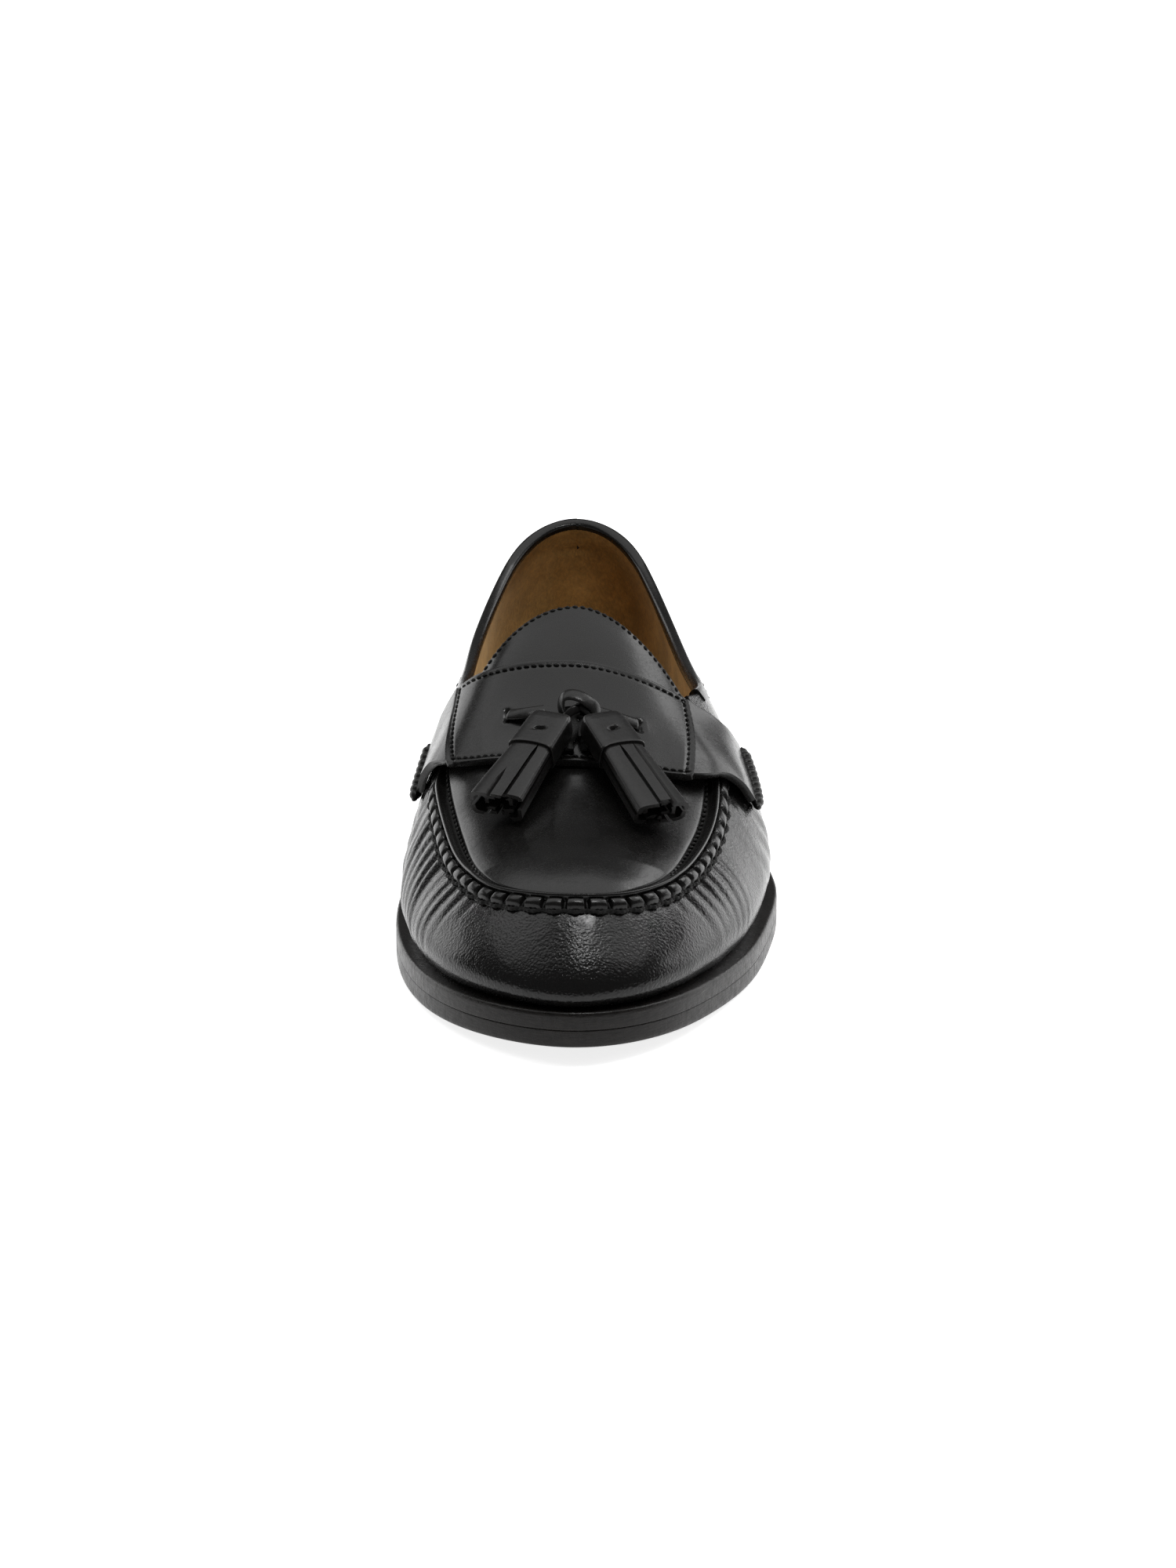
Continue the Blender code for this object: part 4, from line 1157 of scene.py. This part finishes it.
def build_lace():
    """Flat lace from slot to slot, its knot with the loop over it, and its tails."""
    share = np.linspace(0.0, 1.0, 40)
    arch = 0.0011 * np.sin(np.minimum(share * 1.3, 1.0) * math.pi * 0.55)
    lift = 0.0005 + arch - 0.0021 * (1.0 - smooth_step(0.0, 0.10, share))
    parts = []
    for (slot_along, slot_round), knot_round in zip(SLOTS, (-0.028, 0.052)):
        round_ = mix(slot_round, knot_round, share)
        along = mix(slot_along, 0.3800, share) - 0.003 * np.sin(share * math.pi)
        normals = unit(section_normal(along, round_) + np.array((0.0, -0.25, 0.0)) * share[:, None])
        parts.append(ring(sweep(over_strap(along, round_, lift), normals, 0.0040, 0.0013, 14)))
    # Lace tails in the near-black, matte thread material: lace ends, and painted shade between the tassels.
    stitches("lace_tails_and_painted_shade", [knot_band(*tail) for tail in LACE_TAILS_AND_PAINTED_SHADE])
    parts += [knot_band(*row) for row in KNOT_BANDS]
    made = make("lace_and_knot", parts, soft_black, sharp=80.0)
    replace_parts(made, "tassel_lace")


TASSEL_WIDTH = 0.0132
TASSEL_THICKNESS = 0.0080
CAP_TOP = 0.0040
CAP_LENGTH = 0.0198
STRIP_GAP = 0.00128
STRIP_WALL = 0.0011
# Name, node, top and tip on the section, gaps between the strips: angle and where each starts
TASSELS = [
    ("tassel_inner", "tassel_medial", 0.369, -0.006, 0.236, -0.190,
     [(0.0, 0.0), (60.0, 0.50), (124.0, 0.0), (172.0, 0.0), (222.0, 0.0), (268.0, 0.0), (316.0, 0.0)]),
    ("tassel_outer", "tassel_lateral", 0.369, 0.048, 0.226, 0.250,
     [(4.0, 0.0), (74.0, 0.0), (132.0, 0.0), (180.0, 0.0), (226.0, 0.0), (272.0, 0.0), (318.0, 0.0)]),
]


def rounded(angle, width, height):
    """Point of a flat section with rounded corners, in the direction of an angle."""
    c, s = np.cos(angle), np.sin(angle)
    reach = (np.abs(2.0 * c / width) ** 6 + np.abs(2.0 * s / height) ** 6) ** (-1.0 / 6.0)
    return reach * c, reach * s


def build_tassel(name, node, top_along, top_round, tip_along, tip_round, gaps):
    top = on_section(top_along, top_round, SKIN_GAP + STRAP_WALL + GAP + TASSEL_THICKNESS / 2.0)
    tip = on_section(tip_along, tip_round, GAP + TASSEL_THICKNESS * 0.66)
    length = float(np.linalg.norm(tip - top))
    axis = (tip - top) / length
    side = -1.0 if tip_round < 0.0 else 1.0
    normal = skin_normal(side, turn_of(mix(top_along, tip_along, 0.5)), 1.0 - abs(tip_round) / 2.0)
    across = unit(np.cross(axis, normal))
    normal = np.cross(across, axis)
    fringe = length - CAP_LENGTH

    def place(distance, x, z):
        return top + axis * distance[..., None] + across * x[..., None] + normal * z[..., None]

    angle = np.linspace(0.0, 2.0 * math.pi, 88, endpoint=False)[None, :]
    # Rows of the cap: distance from the top of the tassel, and a share of its section
    rows = [(-0.0003, 0.30), (-0.0002, 0.68), (0.0, 0.81), (0.0005, 0.86), (0.0014, 0.90), (0.0030, 0.92)]
    rows = [(CAP_TOP + d, size) for d, size in rows]
    rows += [(d, 0.89 + 6.0 * d) for d in np.linspace(0.0070, CAP_LENGTH - 0.0003, 26)]
    rows += [(CAP_LENGTH, 0.985)]
    inner = [(0.0, 0.80), (0.0006, 0.77), (0.006, 0.72), (0.0085, 0.3)]
    inner = [(CAP_LENGTH - d, size) for d, size in inner]
    distance = np.array([row[0] for row in rows + inner])[:, None] + angle * 0.0
    size = np.array([row[1] for row in rows + inner])[:, None]
    x, z = rounded(angle, TASSEL_WIDTH * size, TASSEL_THICKNESS * size)
    arch = (1.0 - (2.0 * x / TASSEL_WIDTH) ** 2) * smooth_step(0.010, CAP_LENGTH - 0.001, distance)
    distance = distance - 0.0011 * arch * (z > 0)
    slit_x = (x + 0.0002 * side) / 0.0015
    slit_y = (distance - 0.0122 - 0.0004 * x / 0.0015) / 0.00060
    slit = np.exp(-(slit_x ** 4 + slit_y ** 4)) * (z > 0)
    slit[len(rows):] = 0.0
    cap = ring(place(distance, x, z - slit * 0.0011))

    def half_gap(degrees):
        """Half of the gap between two strips as an angle round the section."""
        pair = np.radians(np.array((degrees - 0.5, degrees + 0.5)))
        x, z = rounded(pair, TASSEL_WIDTH, TASSEL_THICKNESS)
        return STRIP_GAP / 2.0 * math.radians(1.0) / math.hypot(x[1] - x[0], z[1] - z[0])

    strips = []
    t = np.linspace(0.0, 1.0, 30)[:, None]
    for layer, (outer, start_at, tip_flare) in enumerate(((0.97, 0.0, 1.23), (0.66, 20.0, 1.05))):
        for k, (gap, opens) in enumerate(gaps):
            following, next_opens = gaps[(k + 1) % len(gaps)]
            if k == len(gaps) - 1:
                following += 360.0
            first = math.radians(gap + start_at)
            last = math.radians(following + start_at)
            start = first + half_gap(gap + start_at) * smooth_step(opens, opens + 0.25, t)
            end = last - half_gap(following + start_at) * smooth_step(next_opens, next_opens + 0.25, t)
            arc = mix(start, end, np.linspace(0.0, 1.0, 12)[None, :])
            wide = (TASSEL_WIDTH - 0.0006) * mix(0.93, tip_flare, t ** 0.8) * outer
            thick = (TASSEL_THICKNESS - 0.0007) * mix(0.92, 1.04, t) * outer
            stagger = 0.0011 * math.cos(2.4 * k + layer + side)
            reach = -0.0030 + t * (fringe + 0.0030 + stagger - 0.0012 * layer)
            curl = 0.0004 * np.sin(k * 1.7 + t * 2.2) * t
            shape = []
            for inset in (0.0, STRIP_WALL):
                x, z = rounded(arc, wide - 2.0 * inset + curl, thick - 2.0 * inset + curl)
                shape.append(place(CAP_LENGTH + reach + x * 0.0, x, z))
            strips.append(ring(np.concatenate((shape[0], shape[1][:, ::-1]), axis=1)))
    cap_piece = make(name + "_cap", [cap], soft_black, sharp=55.0)
    fringe_piece = make(name + "_strips", strips, soft_black, sharp=40.0)
    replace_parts(fringe_piece, node)


# Stitches on the quarters and the tongue
def build_quarter_stitches():
    parts = []
    for side in (-1.0, 1.0):
        turn = np.full(200, float(turn_of(QUARTER_SEAM)) - 0.0165)
        rim = rim_rise(side, turn, SEAM_WIDTH)
        rise = mix(0.03, 0.97, np.linspace(0.0, 1.0, 200)) * rim
        path = raised(side, turn, rise, np.full(200, 0.00058))
        parts.append(stitch_row(path, skin_normal(side, turn, rise), 0.0021, 0.0016, 0.0007, 0.2))
    stitches("quarter_stitches", parts)


def build_tongue_stitches():
    tip = float(turn_of(APRON_OUTLINE[-1][0]))
    turns = mix(float(turn_of(0.44)), tip, np.sin(np.linspace(0.0, math.pi / 2.0, 200)))
    halves = []
    for side in (-1.0, 1.0):
        edge = apron_rise(side, turns)
        halves.append((side, turns, np.minimum(edge + 0.0013 / rise_rate(side, turns, edge), 1.0)))
    points, normals = [], []
    for side, turns, rise in (halves[0], (halves[1][0], halves[1][1][::-1], halves[1][2][::-1])):
        points.append(raised(side, turns, rise, np.full(len(turns), 0.00015)))
        normals.append(skin_normal(side, turns, rise))
    path, ups = np.concatenate(points), np.concatenate(normals)
    keep = np.concatenate(([True], np.linalg.norm(np.diff(path, axis=0), axis=1) > 0.00003))
    stitches("tongue_stitches", [stitch_row(path[keep], ups[keep], 0.0022, 0.0018, 0.0008, 0.2)])


build_upper()
build_lining()
build_binding()
build_apron()
build_apron_lining()
build_seam()
build_seam_thread()
build_edge_stitches()
build_strap()
build_strap_stitches()
build_side_roll("side_roll_inner", STRAP[0], "side_rope_medial")
build_side_roll("side_roll_outer", STRAP[-1], "side_rope_lateral")
build_lace()
for tassel in TASSELS:
    build_tassel(*tassel)
build_quarter_stitches()
build_tongue_stitches()


# Stage
def build_floor(size):
    mesh = bpy.data.meshes.new("floor")
    half = size / 2.0
    corners = [(-half, -half, 0.0), (half, -half, 0.0), (half, half, 0.0), (-half, half, 0.0)]
    mesh.from_pydata(corners, [], [(0, 1, 2, 3)])
    mesh.materials.append(floor_look())
    link("floor", mesh)


def aim(made, place, target):
    made.location = place
    if target:
        made.rotation_euler = (Vector(target) - Vector(place)).to_track_quat("-Z", "Y").to_euler()


def area_light(name, place, target, width, height, power):
    data = bpy.data.lights.new(name, "AREA")
    data.energy = power
    data.shape = "RECTANGLE"
    data.size = width
    data.size_y = height
    aim(link(name, data), place, target)


build_floor(40.0)
# Name, place, what it faces or None for straight down, width, height and power
area_light("overhead_softbox", (0.0, 0.55, 1.5), None, 3.2, 1.2, 20.0)
area_light("left_softbox", (-1.07, 0.90, 0.36), (0.0, 0.0, 0.03), 1.15, 0.7, 5.6)
area_light("right_softbox", (1.15, 0.80, 0.36), (0.0, 0.0, 0.03), 1.2, 0.7, 6.6)
area_light("right_high_softbox", (0.80, 0.72, 0.96), (0.0, 0.0, 0.05), 0.42, 0.42, 2.4)
area_light("toe_spark", (0.040, -0.092, 0.386), None, 0.13, 0.008, 0.38)
snoot = bpy.data.lights.new("collar_snoot", "SPOT")
snoot.energy = 26.0
snoot.spot_size = math.radians(6.5)
snoot.spot_blend = 0.8
snoot.shadow_soft_size = 0.06
aim(link("collar_snoot", snoot), (0.42, -0.35, 1.25), (-0.004, 0.085, 0.05))

world = bpy.data.worlds.new("studio")
world.use_nodes = True
background = world.node_tree.nodes["Background"]
background.inputs["Color"].default_value = (1.0, 1.0, 1.0, 1.0)
background.inputs["Strength"].default_value = 0.14
bpy.context.scene.world = world

view = bpy.context.scene.view_settings
view.view_transform = "Standard"
view.look = "None"

# Camera, fitted to the photograph's outline of the shoe
CAMERA_ELEVATION = math.radians(18.0)
CAMERA_DISTANCE = 1.35
CAMERA_TARGET = Vector((0.0, 0.0010, 0.0282))
SENSOR = 36.0
FOCAL_PIXELS = 5995.0
PHOTO_HEIGHT_PIXELS = 2000.0
camera_data = bpy.data.cameras.new("camera")
camera_data.sensor_fit = "AUTO"
camera_data.sensor_width = SENSOR
camera_data.lens = SENSOR * FOCAL_PIXELS / PHOTO_HEIGHT_PIXELS
camera = link("camera", camera_data)
look_along = Vector((0.0, math.cos(CAMERA_ELEVATION), -math.sin(CAMERA_ELEVATION)))
camera.location = CAMERA_TARGET - look_along * CAMERA_DISTANCE
camera.rotation_mode = "QUATERNION"
camera.rotation_quaternion = look_along.to_track_quat("-Z", "Y")
bpy.context.scene.camera = camera
